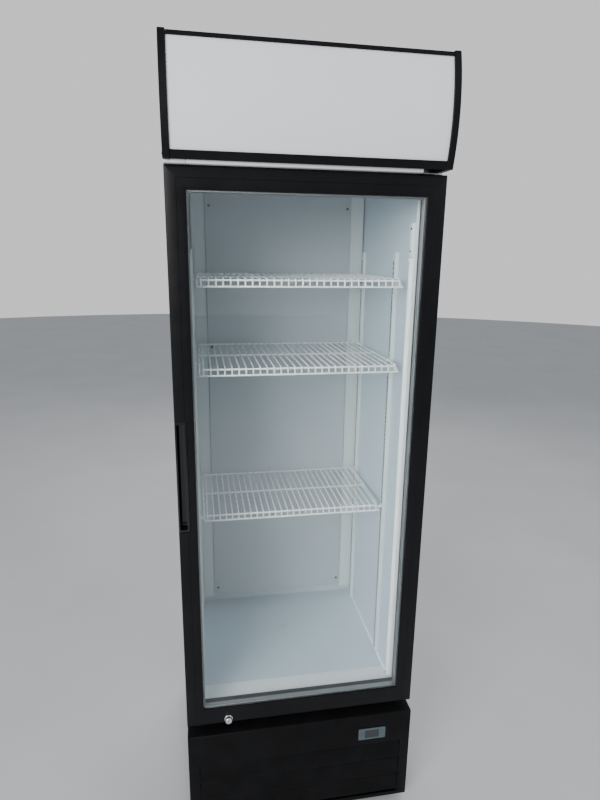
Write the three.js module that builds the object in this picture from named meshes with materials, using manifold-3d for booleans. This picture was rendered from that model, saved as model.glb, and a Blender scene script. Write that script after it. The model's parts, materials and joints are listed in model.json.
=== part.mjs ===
// Upright glass door merchandiser: a one-door drinks cooler with a lit sign box on top.
// Millimetres, +Z up. Seen from the front, +X is to the right and the front faces -Y.
// The pieces are built with Y = 0 at the door's front plane and Z = 0 at the ground.
// The last lines centre the whole object on the origin.
import * as THREE from "three";
import { mergeVertices } from "three/addons/utils/BufferGeometryUtils.js";
import Module from "manifold-3d";

const wasm = await Module();
wasm.setup();

// ---- Driving dimensions ----
// Gaps and sheets
const touch = 0.3; // between pieces that rest on each other
const running = 0.4; // round a shaft or button that moves
const sheet = 1; // painted steel of the outer cabinet
const linerWall = 1.5; // plastic inner liner
const panelSheet = 1.2; // folded covers inside the cabinet and at the back

// Insulated cabinet
const cabinetWidth = 620;
const cabinetDepth = 527;
const cabinetHeight = 1800; // ground to cabinet roof
const sideWall = 41;
const backWall = 45;
const ceilingWall = 45;
const floorWall = 45;
const sideFlange = 46; // side panel turned in across the front
const rearFlange = 20;
const headerDrop = 82; // front strip above the opening, below the roof
const headerDepth = 18;

// Base and feet
const footHeight = 30;
const footTravel = 15;
const footInset = 40;
const padRadius = 19;
const studRadius = 5;
const studLength = 45; // above the base pan
const baseHeight = 292;
const baseReach = 13.5; // base front ahead of the door front
const baseWall = 3;
const panSheet = 1.5;
const panFlange = 20;
const louvreCount = 4;
const louvrePitch = 58;
const louvreFirst = 17; // lowest slot above the base's lower edge
const louvreSlot = 6;
const louvreMargin = 28;

// Door
const doorThickness = 46;
const doorGapBelow = 23;
const doorTopSetback = 61; // door top below the cabinet roof
const stileWidth = 44.4;
const railHeight = 47.5;
const frameWall = 2;
const glassThickness = 4;
const glassSpace = 16;
const glassBite = 9; // glass held inside the frame on each side
const frameLip = 4.7; // frame in front of the glass
const spacerBite = 2.6; // spacer bar set in from the glass edge
const spacerWidth = 10;
const gasketThickness = 12;
const gasketWidth = 19;
const gasketInset = 3;
const hingeInset = 17; // hinge axis from the door's outer edge
const hingePinRadius = 5;
const hingePlate = 3;
const hingeGap = 5; // bracket plate to door, bottom hinge
const topHingeGap = 2;
const bushDepth = 22;

// Handle and lock
const handleBottom = 565; // above the door's lower edge
const handleLength = 278;
const handleWidth = 28;
const handleDepth = 30;
const handleShell = 2;
const handleRim = 4;
const handleLip = 4;
const lockInset = 109; // lock axis from the door's outer edge
const lockRise = 13; // lock axis above the door's lower edge
const lockRadius = 9;
const lockCamLength = 27;

// Inside
const ductInset = 47; // rear cover's edge from the liner wall
const ductDepth = 42;
const ductBottom = 50;
const ductTop = 8;
const stripBottom = 38;
const stripInset = 7;
const stripSetback = 5;
const pilasterDepth = 10;
const pilasterWidth = 20;
const pilasterSheet = 1.2;
const frontPilasterSetback = 122; // behind the cabinet front
const pilasterBottom = 4;
const pilasterTop = 183; // below the ceiling
const drainRadius = 8;
const drainFlange = 13;
const drainSetback = 302; // behind the cabinet front

// Shelves
const shelfWire = 4;
const shelfPitch = 17;
const shelfSideGap = 7; // to the pilasters
const shelfRearGap = 5;
const shelfLadder = 19; // front edge's upper wire to its lower wire
const tieEvery = 5; // long wires from one tie to the next in the front edge
const bottomShelfRise = 501; // shelf tops above the liner floor
const middleShelfDrop = 458; // shelf tops below the ceiling
const topShelfDrop = 246;
const bottomShelfSetback = 125; // front wires behind the cabinet front
const middleShelfSetback = 26;
const topShelfSetback = 26;

// Sign box
const canopyGap = 8; // above the door
const canopyHeight = 232.5;
const canopyReach = 25; // its corners ahead of the door front
const canopyBulge = 17; // further at mid height
const canopyOverRoof = 92; // depth above the roof, behind the cabinet front
const capWidth = 15;
const capProud = 2.5;
const topRailFace = 11;
const bottomRailFace = 17;
const bottomRailLip = 4; // its face above its floor, in front of the sign
const railSheet = 2;
const signThickness = 3;
const bowSteps = 10;
const lampRadius = 13;

// Controller
const controllerWidth = 78;
const controllerHeight = 36;
const controllerInset = 113; // centre from the cabinet's right side
const controllerDrop = 61; // centre below the base's top
const bezel = 2;
const windowWidth = 39;
const windowHeight = 25;
const buttonWidth = 9;
const buttonHeight = 14;
const buttonTravel = 0.8;

// Cooling system
const compressorRadius = 68;
const compressorHeight = 165;
const condenserWidth = 260;
const condenserHeight = 220;
const condenserDepth = 45;
const finCount = 12;
const fanRadius = 82;
const fanBlades = 5;
const trayDepth = 30;

// ---- Derived places ----
const halfWidth = cabinetWidth / 2;
const baseBottom = footHeight;
const baseTop = footHeight + baseHeight;
const doorBottom = baseTop + doorGapBelow;
const doorTop = cabinetHeight - doorTopSetback;
const cabinetFront = doorThickness + gasketThickness;
const cabinetBack = cabinetFront + cabinetDepth;
const insideHalf = halfWidth - sideWall;
const insideBack = cabinetBack - backWall;
const floorLevel = baseTop + floorWall;
const ceilingLevel = cabinetHeight - ceilingWall;
const headerBottom = cabinetHeight - headerDrop;
const shellFront = cabinetFront + sheet + touch;
const shellBack = cabinetBack - sheet - touch;
const shellHalf = halfWidth - sheet - touch;
const ductHalf = insideHalf - ductInset;
const ductFace = insideBack - ductDepth;
const canopyBottom = doorTop + canopyGap;
const canopyTop = canopyBottom + canopyHeight;
const hingeX = halfWidth - hingeInset;
const hingeY = doorThickness / 2;
const drainY = cabinetFront + drainSetback;

// ---- Shape helpers ----
function solid(geometry) {
  const bare = geometry.index ? geometry.toNonIndexed() : geometry;
  bare.deleteAttribute("normal");
  bare.deleteAttribute("uv");
  const merged = mergeVertices(bare, 1e-4);
  return new wasm.Manifold(
    new wasm.Mesh({
      numProp: 3,
      vertProperties: merged.attributes.position.array,
      triVerts: new Uint32Array(merged.index.array),
    }),
  );
}

const join = (first, ...others) => others.reduce((whole, other) => whole.add(other), first);
const cut = (first, ...others) => others.reduce((whole, other) => whole.subtract(other), first);

// A box from its two ends along each axis.
function block(x, y, z) {
  const geometry = new THREE.BoxGeometry(x[1] - x[0], y[1] - y[0], z[1] - z[0]);
  return solid(geometry.translate((x[0] + x[1]) / 2, (y[0] + y[1]) / 2, (z[0] + z[1]) / 2));
}

const turns = {
  x: new THREE.Matrix4().makeBasis(
    new THREE.Vector3(0, 1, 0),
    new THREE.Vector3(0, 0, 1),
    new THREE.Vector3(1, 0, 0),
  ),
  y: new THREE.Matrix4().makeBasis(
    new THREE.Vector3(0, 0, 1),
    new THREE.Vector3(1, 0, 0),
    new THREE.Vector3(0, 1, 0),
  ),
  z: new THREE.Matrix4(),
};

// An outline drawn in the plane across an axis, drawn out along that axis from start to end.
// Across x its points are (y, z), across y they are (z, x) and across z they are (x, y).
function prism(axis, points, [start, end]) {
  const shape = new THREE.Shape(points.map(([u, v]) => new THREE.Vector2(u, v)));
  const geometry = new THREE.ExtrudeGeometry(shape, { depth: end - start, bevelEnabled: false });
  return solid(geometry.translate(0, 0, start).applyMatrix4(turns[axis]));
}

// A round bar along an axis, with its centre given across that axis as prism takes its points.
function bar(axis, [u, v], radius, [start, end], sides = 20) {
  const geometry = new THREE.CylinderGeometry(radius, radius, end - start, sides);
  geometry.rotateX(Math.PI / 2).translate(u, v, (start + end) / 2);
  return solid(geometry.applyMatrix4(turns[axis]));
}

// A round turned piece about a vertical axis, its profile given as (radius, height) from below.
function turned(profile, [x, y], sides = 24) {
  const points = profile.map(([radius, height]) => new THREE.Vector2(radius, height));
  const geometry = new THREE.LatheGeometry(points, sides).rotateX(Math.PI / 2);
  return solid(geometry.translate(x, y, 0));
}

// A tube along a smooth curve through points.
function tube(points, radius, steps) {
  const path = new THREE.CatmullRomCurve3(points.map((point) => new THREE.Vector3(...point)));
  const ring = new THREE.Shape(
    Array.from({ length: 8 }, (_, i) => {
      const angle = (i / 8) * 2 * Math.PI;
      return new THREE.Vector2(radius * Math.cos(angle), radius * Math.sin(angle));
    }),
  );
  return solid(new THREE.ExtrudeGeometry(ring, { steps, extrudePath: path, bevelEnabled: false }));
}

// The same stretch on the left (side -1) or right (side 1), from its inner to its outer distance.
const onSide = (side, inner, outer) => (side > 0 ? [inner, outer] : [-outer, -inner]);
const across = (half) => [-half, half];

// ---- Materials ----
const finish = (color, roughness, metalness = 0) =>
  new THREE.MeshStandardMaterial({ color, roughness, metalness });
const whiteSteel = () => finish(0xe9eced, 0.35);
const whitePlastic = () => finish(0xdfe8ee, 0.45);
const blackSatin = () => finish(0x0b0b0c, 0.35);
const blackPlastic = () => finish(0x0d0e0f, 0.5);
const zincSteel = () => finish(0xb4b8bb, 0.35, 1);
const clearGlass = () =>
  new THREE.MeshStandardMaterial({ color: 0xdfeaea, roughness: 0.05, transparent: true, opacity: 0.25 });

const merchandiser = new THREE.Group();
const door = new THREE.Group();
merchandiser.add(door);

function piece(name, shape, material, group = merchandiser) {
  const made = shape.getMesh();
  const geometry = new THREE.BufferGeometry();
  geometry.setAttribute("position", new THREE.BufferAttribute(made.vertProperties, 3));
  geometry.setIndex(new THREE.BufferAttribute(made.triVerts, 1));
  const mesh = new THREE.Mesh(geometry, material);
  mesh.name = name;
  group.add(mesh);
}

// ---- Cabinet shell ----
// A folded C section in plan, whose front flange stops above the base grille.
function sidePanel(side) {
  const inner = halfWidth - sheet;
  const plan = [
    [halfWidth, cabinetFront],
    [halfWidth, cabinetBack],
    [halfWidth - rearFlange, cabinetBack],
    [halfWidth - rearFlange, cabinetBack - sheet],
    [inner, cabinetBack - sheet],
    [inner, cabinetFront + sheet],
    [halfWidth - sideFlange, cabinetFront + sheet],
    [halfWidth - sideFlange, cabinetFront],
  ];
  const mirrored = plan.map(([x, y]) => [side * x, y]);
  return cut(
    prism("z", side > 0 ? mirrored : mirrored.reverse(), [baseBottom, cabinetHeight]),
    block(
      onSide(side, halfWidth - sideFlange - touch, inner - touch),
      [cabinetFront - touch, cabinetFront + sheet + touch],
      [baseBottom - sheet, baseTop],
    ),
  );
}

// A roof or a deck between the side panels, with a strip across the cabinet's front face.
function flangedSheet([bottom, top], stripHeights) {
  const centre = halfWidth - sideFlange - touch;
  return join(
    block(across(shellHalf), [shellFront, shellBack], [bottom, top]),
    block(across(centre), [cabinetFront, shellFront + sheet], [bottom, top]),
    block(across(centre), [cabinetFront, cabinetFront + sheet], stripHeights),
  );
}

const drainHole = (clearance) =>
  bar("z", [0, drainY], drainRadius + clearance, [baseTop - sheet, floorLevel + sheet]);

piece("left_side_panel", sidePanel(-1), whiteSteel());
piece("right_side_panel", sidePanel(1), whiteSteel());
piece(
  "top_panel",
  flangedSheet([cabinetHeight - sheet, cabinetHeight], [headerBottom, cabinetHeight]),
  whiteSteel(),
);
piece(
  "deck_panel",
  cut(flangedSheet([baseTop, baseTop + sheet], [baseTop, floorLevel - touch]), drainHole(touch)),
  whiteSteel(),
);
piece(
  "rear_panel",
  block(
    across(halfWidth - rearFlange - touch),
    [cabinetBack - sheet, cabinetBack],
    [baseTop, cabinetHeight],
  ),
  zincSteel(),
);

// ---- Insulation and liner ----
// The liner's outside, grown by a clearance, with the header's foam space left out of it.
function linerEnvelope(grown) {
  const outside = insideHalf + linerWall + grown;
  return cut(
    block(
      across(outside),
      [shellFront - grown, insideBack + linerWall + grown],
      [floorLevel - linerWall - grown, ceilingLevel + linerWall + grown],
    ),
    block(
      across(outside + sheet),
      [cabinetFront, shellFront + headerDepth - linerWall - grown],
      [headerBottom + linerWall + grown, ceilingLevel + linerWall + grown + sheet],
    ),
  );
}

function liner() {
  const cavity = block(
    across(insideHalf),
    [shellFront + headerDepth, insideBack],
    [floorLevel, ceilingLevel],
  );
  const mouth = block(
    across(insideHalf),
    [cabinetFront, shellFront + headerDepth + sheet],
    [floorLevel, headerBottom],
  );
  return cut(linerEnvelope(0), cavity, mouth, drainHole(touch));
}

function foam() {
  const filled = block(
    across(shellHalf),
    [shellFront, shellBack],
    [baseTop + sheet + touch, cabinetHeight - sheet - touch],
  );
  return cut(filled, linerEnvelope(touch), drainHole(touch));
}

piece("inner_liner", liner(), whitePlastic());
piece("foam_insulation", foam(), finish(0xe3d9a8, 0.9));

// ---- Inside fittings ----
function foldedCover([left, right], face, [bottom, top]) {
  const back = insideBack - touch;
  return join(
    block([left, right], [face, face + panelSheet], [bottom, top]),
    block([left, left + panelSheet], [face, back], [bottom, top]),
    block([right - panelSheet, right], [face, back], [bottom, top]),
  );
}

piece(
  "rear_duct_panel",
  foldedCover(across(ductHalf), ductFace, [floorLevel + ductBottom, ceilingLevel - ductTop]),
  whiteSteel(),
);

function cornerStrip(side) {
  const width = onSide(side, ductHalf + touch, insideHalf - stripInset);
  return foldedCover(width, ductFace + stripSetback, [floorLevel + stripBottom, ceilingLevel - ductTop]);
}

function pilaster(side, front) {
  const wallSide = insideHalf - touch;
  const heights = [floorLevel + pilasterBottom, ceilingLevel - pilasterTop];
  const face = insideHalf - pilasterDepth;
  const rear = front + pilasterWidth;
  return join(
    block(onSide(side, face, face + pilasterSheet), [front, rear], heights),
    block(onSide(side, face, wallSide), [front, front + pilasterSheet], heights),
    block(onSide(side, face, wallSide), [rear - pilasterSheet, rear], heights),
  );
}

const frontPilaster = cabinetFront + frontPilasterSetback;
const rearPilaster = ductFace - touch - pilasterWidth;
const sides = { left: -1, right: 1 };
for (const [word, side] of Object.entries(sides)) {
  piece(`${word}_corner_strip`, cornerStrip(side), whiteSteel());
  piece(`${word}_front_pilaster`, pilaster(side, frontPilaster), whiteSteel());
  piece(`${word}_rear_pilaster`, pilaster(side, rearPilaster), whiteSteel());
}

function drainCup() {
  const lip = floorLevel + touch;
  const end = baseTop - trayDepth;
  const profile = [
    [drainRadius - 2, end],
    [drainRadius, end],
    [drainRadius, lip],
    [drainFlange, lip],
    [drainFlange, lip + 1.5],
    [drainRadius - 2, lip + 0.5],
    [drainRadius - 2, end],
  ];
  return turned(profile, [0, drainY], 20);
}
piece("drain_cup", drainCup(), whitePlastic());

// A serpentine tube on a plate, behind the rear cover.
function evaporator() {
  const plateBack = insideBack - touch;
  const plateFront = plateBack - panelSheet;
  const tubeFront = plateFront - 8;
  const half = ductHalf - 24;
  const low = floorLevel + ductBottom + 60;
  const high = ceilingLevel - 180;
  const rows = 10;
  const pitch = (high - low) / rows;
  let coil = block(across(half + 6), [plateFront, plateBack], [low - 10, high + 10]);
  for (let row = 0; row <= rows; row += 1) {
    const z = low + row * pitch;
    coil = coil.add(block(across(half), [tubeFront, plateFront + 0.5], [z - 4, z + 4]));
    if (row < rows) {
      const side = row % 2 ? 1 : -1;
      const bend = block(onSide(side, half - 8, half), [tubeFront, plateFront + 0.5], [z - 4, z + pitch + 4]);
      coil = coil.add(bend);
    }
  }
  return coil;
}
piece("evaporator_coil", evaporator(), finish(0xc2c6c8, 0.4, 1));

// A light strip upright inside the right-hand front edge, with its holder at the top.
function lightStrip() {
  const wallSide = insideHalf - touch;
  const front = cabinetFront + 6;
  const low = floorLevel + 13;
  const high = headerBottom - 158;
  const lens = prism(
    "z",
    [
      [wallSide, front],
      [wallSide, front + 22],
      [wallSide - 6, front + 22],
      [wallSide - 11, front + 14],
      [wallSide - 11, front + 4],
      [wallSide - 6, front],
    ],
    [low, high],
  );
  return join(lens, block([wallSide - 9, wallSide], [front + 2, front + 20], [high - 1, high + 80]));
}
piece("interior_light", lightStrip(), finish(0xf4f7f8, 0.3));

// ---- Shelves ----
// A wire grille: long wires laid into three cross wires, and a second wire under its front edge.
function shelf(topLevel, setback) {
  const half = insideHalf - pilasterDepth - shelfSideGap;
  const front = cabinetFront + setback;
  const back = ductFace - shelfRearGap;
  const inset = shelfWire / 4;
  const longHeights = [topLevel - shelfWire, topLevel];
  const crossHeights = [topLevel - shelfWire - 2 * inset, topLevel - 2 * inset];
  const lowerHeights = [topLevel - shelfLadder - shelfWire, topLevel - shelfLadder];
  const gaps = Math.round((2 * half - shelfWire) / shelfPitch);
  const pitch = (2 * half - shelfWire) / gaps;
  const crossWire = (y, heights) => block(across(half - inset), [y, y + shelfWire], heights);
  let grille = crossWire(front, lowerHeights);
  for (const y of [front, (front + back) / 2, back - shelfWire]) {
    grille = grille.add(crossWire(y, crossHeights));
  }
  for (let wire = 0; wire <= gaps; wire += 1) {
    const x = -half + wire * pitch;
    grille = grille.add(block([x, x + shelfWire], [front + inset, back - inset], longHeights));
    if (wire % tieEvery === 0) {
      const tie = block(
        [x + 2 * inset, x + shelfWire - inset],
        [front + inset, front + shelfWire - inset],
        [lowerHeights[0] + inset, crossHeights[1] - inset],
      );
      grille = grille.add(tie);
    }
  }
  return grille;
}
const shelfWhite = () => finish(0xf2f4f4, 0.3);
piece("bottom_shelf", shelf(floorLevel + bottomShelfRise, bottomShelfSetback), shelfWhite());
piece("middle_shelf", shelf(ceilingLevel - middleShelfDrop, middleShelfSetback), shelfWhite());
piece("top_shelf", shelf(ceilingLevel - topShelfDrop, topShelfSetback), shelfWhite());

// ---- Base ----
const footPlaces = {
  front_left: [-1, cabinetFront + footInset],
  front_right: [1, cabinetFront + footInset],
  rear_left: [-1, cabinetBack - footInset],
  rear_right: [1, cabinetBack - footInset],
};
const footX = (side) => side * (halfWidth - footInset);

function foot([side, y]) {
  const neck = studRadius + 4;
  const profile = [
    [0, 0],
    [padRadius, 0],
    [padRadius, 6],
    [neck, 10],
    [neck, footHeight - touch],
    [studRadius, footHeight - touch],
    [studRadius, footHeight + studLength],
    [0, footHeight + studLength],
  ];
  return turned(profile, [footX(side), y], 20);
}

function basePan() {
  const x = across(shellHalf);
  const top = baseBottom + panSheet;
  const flange = [baseBottom, top + panFlange];
  const pan = join(
    block(x, [shellFront, shellBack], [baseBottom, top]),
    block(x, [shellFront, shellFront + panSheet], flange),
    block(x, [shellBack - panSheet, shellBack], flange),
  );
  const holes = Object.values(footPlaces).map(([side, y]) =>
    bar("z", [footX(side), y], studRadius + running, [baseBottom - sheet, top + sheet]),
  );
  return cut(pan, ...holes);
}

piece("base_pan", basePan(), zincSteel());
for (const [word, place] of Object.entries(footPlaces)) {
  piece(`${word}_foot`, foot(place), blackPlastic());
}

const baseFront = -baseReach;
const controllerX = halfWidth - controllerInset;
const controllerZ = baseTop - controllerDrop;
const controllerBody = 4; // body inside the panel, narrower than the bezel all round

function frontGrille() {
  const back = cabinetFront - touch;
  const shell = cut(
    block(across(halfWidth), [baseFront, back], [baseBottom, baseTop - touch]),
    block(
      across(halfWidth - baseWall),
      [baseFront + baseWall, back + sheet],
      [baseBottom - sheet, baseTop - touch - baseWall],
    ),
  );
  const through = [baseFront - sheet, baseFront + baseWall + sheet];
  const slots = Array.from({ length: louvreCount }, (_, i) => {
    const z = baseBottom + louvreFirst + i * louvrePitch;
    return block(across(halfWidth - louvreMargin), through, [z - louvreSlot / 2, z + louvreSlot / 2]);
  });
  return cut(shell, ...slots, controllerCore(through, touch));
}

// The controller's body where it passes through the front panel, grown by a clearance.
function controllerCore(y, grown) {
  const halfX = controllerWidth / 2 - controllerBody + grown;
  const halfZ = controllerHeight / 2 - controllerBody + grown;
  return block(
    [controllerX - halfX, controllerX + halfX],
    y,
    [controllerZ - halfZ, controllerZ + halfZ],
  );
}

const bezelBack = baseFront - touch;
const bezelFront = bezelBack - bezel;
const buttonPocket = 4;
const buttonOffset = (controllerWidth + windowWidth) / 4;
const buttonSides = { left: -1, right: 1 };

function buttonBlock(side, y, grown) {
  const x = controllerX + side * buttonOffset;
  return block(
    [x - buttonWidth / 2 - grown, x + buttonWidth / 2 + grown],
    y,
    [controllerZ - buttonHeight / 2 - grown, controllerZ + buttonHeight / 2 + grown],
  );
}

function windowBlock(y, grown) {
  return block(
    [controllerX - windowWidth / 2 - grown, controllerX + windowWidth / 2 + grown],
    y,
    [controllerZ - windowHeight / 2 - grown, controllerZ + windowHeight / 2 + grown],
  );
}

function controller() {
  const plate = block(
    [controllerX - controllerWidth / 2, controllerX + controllerWidth / 2],
    [bezelFront, bezelBack],
    [controllerZ - controllerHeight / 2, controllerZ + controllerHeight / 2],
  );
  const core = controllerCore([bezelFront + 0.5, baseFront + baseWall + 22], 0);
  const pockets = Object.values(buttonSides).map((side) =>
    buttonBlock(side, [bezelFront - sheet, bezelBack + buttonPocket], running),
  );
  return cut(join(plate, core), ...pockets, windowBlock([bezelFront - sheet, bezelFront + 1], touch));
}

piece("front_grille", frontGrille(), blackPlastic());
piece("controller_body", controller(), finish(0x9fb8c6, 0.4));
piece("controller_window", windowBlock([bezelFront - 0.2, bezelFront + 0.7], 0), finish(0x1a1f24, 0.1));
for (const [word, side] of Object.entries(buttonSides)) {
  const back = bezelBack + buttonPocket - buttonTravel - touch;
  piece(`controller_${word}_button`, buttonBlock(side, [bezelFront - 0.6, back], 0), finish(0xb9cbd6, 0.45));
}

// ---- Cooling system, standing on the base pan ----
const panTop = baseBottom + panSheet + touch;
const compressorX = halfWidth - 200;
const compressorY = cabinetBack - 185;

function compressor() {
  const r = compressorRadius;
  const low = panTop + 6;
  const high = low + compressorHeight;
  const pot = turned(
    [
      [0, low],
      [r - 10, low],
      [r, low + 14],
      [r, high - 50],
      [r - 8, high - 22],
      [r - 30, high - 4],
      [0, high],
    ],
    [compressorX, compressorY],
  );
  const plate = block(
    [compressorX - r - 18, compressorX + r + 18],
    [compressorY - 50, compressorY + 50],
    [panTop, low + 3],
  );
  const terminals = block(
    [compressorX - r - 26, compressorX - r + 12],
    [compressorY - 28, compressorY + 28],
    [low + 40, low + 100],
  );
  return join(pot, plate, terminals);
}
piece("compressor", compressor(), finish(0x101112, 0.45));

// The tray stands on the compressor's dome and reaches under the drain.
function dripTray() {
  const bottom = panTop + 6 + compressorHeight + touch;
  const x = [-drainFlange - 36, compressorX + 76];
  const y = [Math.min(drainY - 30, compressorY - 74), Math.max(drainY + 30, compressorY + 74)];
  const wall = 2;
  return cut(
    block(x, y, [bottom, bottom + trayDepth]),
    block([x[0] + wall, x[1] - wall], [y[0] + wall, y[1] - wall], [bottom + wall, bottom + trayDepth + wall]),
  );
}
piece("drip_tray", dripTray(), finish(0xd8dcdc, 0.5));

const condenserLeft = -halfWidth + 80;
const condenserRight = condenserLeft + condenserWidth;
const condenserFront = cabinetFront + 25;
const condenserBack = condenserFront + condenserDepth;
const condenserX = (condenserLeft + condenserRight) / 2;
const condenserZ = panTop + condenserHeight / 2;

function condenser() {
  const tubeSize = 8;
  const fin = 3;
  const heights = [panTop, panTop + condenserHeight];
  const pitch = (condenserWidth - fin) / (finCount - 1);
  let coil = block(
    [condenserLeft, condenserRight],
    [condenserFront + 12, condenserFront + 12 + tubeSize],
    [condenserZ - tubeSize / 2, condenserZ + tubeSize / 2],
  );
  for (let i = 0; i < finCount; i += 1) {
    const x = condenserLeft + i * pitch;
    coil = coil.add(block([x, x + fin], [condenserFront, condenserBack], heights));
  }
  for (const share of [0.2, 0.8]) {
    const z = panTop + share * condenserHeight;
    const row = block(
      [condenserLeft, condenserRight],
      [condenserBack - 20, condenserBack - 20 + tubeSize],
      [z - tubeSize / 2, z + tubeSize / 2],
    );
    coil = coil.add(row);
  }
  return coil;
}
piece("condenser_coil", condenser(), finish(0x2a2c2e, 0.5, 0.6));

// The fan's ring stands behind the condenser, and a cross arm behind it holds the motor.
const fanPlate = 2;
const fanPlateFront = condenserBack + 3;
const fanHubBack = fanPlateFront + 32;
const armFront = fanPlateFront + 46;

function fanFrame() {
  const outer = fanRadius + 18;
  const sheetPlate = block(
    [condenserX - outer, condenserX + outer],
    [fanPlateFront, fanPlateFront + fanPlate],
    [panTop, condenserZ + outer],
  );
  const hole = bar(
    "y",
    [condenserZ, condenserX],
    fanRadius + 6,
    [fanPlateFront - sheet, fanPlateFront + fanPlate + sheet],
    28,
  );
  const armHeights = [condenserZ - 6, condenserZ + 6];
  const arm = block([condenserX - outer, condenserX + outer], [armFront, armFront + 3], armHeights);
  const posts = [-1, 1].map((side) =>
    block(
      side > 0 ? [condenserX + outer - 6, condenserX + outer] : [condenserX - outer, condenserX - outer + 6],
      [fanPlateFront, armFront + 3],
      armHeights,
    ),
  );
  const motor = bar("y", [condenserZ, condenserX], 30, [fanHubBack + 4, armFront + 34]);
  const shaft = bar("y", [condenserZ, condenserX], 3, [fanHubBack - 12, fanHubBack + 6], 12);
  return join(cut(sheetPlate, hole), arm, ...posts, motor, shaft);
}

function fanBlade() {
  const hubLength = 20;
  const hub = cut(
    bar("y", [condenserZ, condenserX], 19, [fanHubBack - hubLength, fanHubBack]),
    bar("y", [condenserZ, condenserX], 3 + running, [fanHubBack - 14, fanHubBack + sheet], 12),
  );
  let wheel = hub;
  for (let i = 0; i < fanBlades; i += 1) {
    const blade = new THREE.BoxGeometry(fanRadius - 14, 2, 34);
    blade.rotateX(Math.PI / 6).translate((fanRadius + 14) / 2, 0, 0);
    blade.rotateY((i / fanBlades) * 2 * Math.PI);
    blade.translate(condenserX, fanHubBack - hubLength / 2, condenserZ);
    wheel = wheel.add(solid(blade));
  }
  return wheel;
}
piece("condenser_fan_frame", fanFrame(), finish(0x3a3d40, 0.5, 0.5));
piece("condenser_fan_blade", fanBlade(), finish(0xc9ccce, 0.4, 0.8));

// The drier hangs on the liquid pipe from the condenser's end up to the deck.
function filterDrier() {
  const x = condenserLeft - 24;
  const y = condenserBack + 110;
  const pipe = tube(
    [
      [condenserLeft - 1, condenserFront + 16, condenserZ],
      [condenserLeft - 14, condenserFront + 16, condenserZ],
      [x, condenserFront + 40, condenserZ - 40],
      [x, y - 20, panTop + 30],
      [x, y, panTop + 60],
      [x, y, baseTop - 60],
      [x, y, baseTop - touch],
    ],
    3,
    30,
  );
  const shell = turned(
    [
      [0, panTop + 70],
      [3, panTop + 70],
      [10, panTop + 84],
      [10, panTop + 160],
      [3, panTop + 174],
      [0, panTop + 174],
    ],
    [x, y],
    16,
  );
  return join(pipe, shell);
}
piece("filter_drier", filterDrier(), finish(0xb87352, 0.35, 1));

// ---- Electrical box, cable gland and rear grille ----
const rearGrilleFront = cabinetBack - 25;
const boxBack = rearGrilleFront - 10;
const boxRight = -footX(1) + 140;
const glandX = boxRight - 50;
const glandZ = panTop + 60;
const glandRadius = 10;

piece(
  "electrical_box",
  block([boxRight - 110, boxRight], [boxBack - 120, boxBack], [panTop, panTop + 108]),
  finish(0xc8cbca, 0.5),
);

function cableGland() {
  const end = rearGrilleFront + 18;
  return cut(
    join(
      bar("y", [glandZ, glandX], glandRadius + 4, [boxBack + touch, boxBack + 6], 6),
      bar("y", [glandZ, glandX], glandRadius, [boxBack + 4, end]),
    ),
    bar("y", [glandZ, glandX], 4, [boxBack + 8, end + sheet], 12),
  );
}
piece("cable_gland", cableGland(), blackPlastic());

function rearGrille() {
  const y = [rearGrilleFront, rearGrilleFront + panelSheet];
  const through = [y[0] - sheet, y[1] + sheet];
  const low = panTop;
  const high = baseTop - touch;
  const rows = 9;
  const pitch = (high - low - 60) / (rows - 1);
  const slots = [];
  for (let row = 0; row < rows; row += 1) {
    const z = low + 30 + row * pitch;
    slots.push(block([-20, halfWidth - 60], through, [z - 4, z + 4]));
  }
  const glandHole = bar("y", [glandZ, glandX], glandRadius + touch, through);
  return cut(block(across(shellHalf), y, [low, high]), ...slots, glandHole);
}
piece("rear_grille", rearGrille(), zincSteel());

// ---- Sign box ----
// How far forward the sign box's face stands at a height, on an arc through its corners.
function bow(z) {
  const half = canopyHeight / 2;
  const radius = (half * half + canopyBulge * canopyBulge) / (2 * canopyBulge);
  const fromMiddle = z - canopyBottom - half;
  return -canopyReach - Math.sqrt(radius * radius - fromMiddle * fromMiddle) + radius - canopyBulge;
}

// Points (y, z) up the bowed face between two heights, set back from it.
function bowLine(low, high, setback) {
  return Array.from({ length: bowSteps + 1 }, (_, i) => {
    const z = low + ((high - low) * i) / bowSteps;
    return [bow(z) + setback, z];
  });
}

const canopyBack = cabinetFront + canopyOverRoof;
const betweenCaps = halfWidth - capWidth - touch;
const railFloorTop = canopyBottom + bottomRailFace - bottomRailLip;
const railFaceSetback = capProud;
const signSetback = capProud + railSheet + touch;

function endCap(side) {
  const outline = [
    ...bowLine(canopyBottom, canopyTop, 0).reverse(),
    [cabinetFront - touch, canopyBottom],
    [cabinetFront - touch, cabinetHeight + touch],
    [canopyBack, cabinetHeight + touch],
    [canopyBack, canopyTop],
  ];
  return prism("x", outline, onSide(side, halfWidth - capWidth, halfWidth));
}

// A strip that follows the bowed face, between two heights and two setbacks.
function bowStrip([low, high], [front, back]) {
  const outline = [...bowLine(low, high, back), ...bowLine(low, high, front).reverse()];
  return prism("x", outline, across(betweenCaps));
}

function bottomRail() {
  const face = bowStrip([canopyBottom, canopyBottom + bottomRailFace], [railFaceSetback, capProud + railSheet]);
  const floor = block(
    across(betweenCaps),
    [bow(railFloorTop) + capProud + 1, cabinetFront - 6],
    [railFloorTop - railSheet, railFloorTop],
  );
  return join(face, floor);
}

function topRail() {
  const face = bowStrip([canopyTop - topRailFace, canopyTop], [railFaceSetback, capProud + railSheet]);
  const roof = block(
    across(betweenCaps),
    [bow(canopyTop) + capProud + 1, 20],
    [canopyTop - railSheet, canopyTop],
  );
  return join(face, roof);
}

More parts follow.
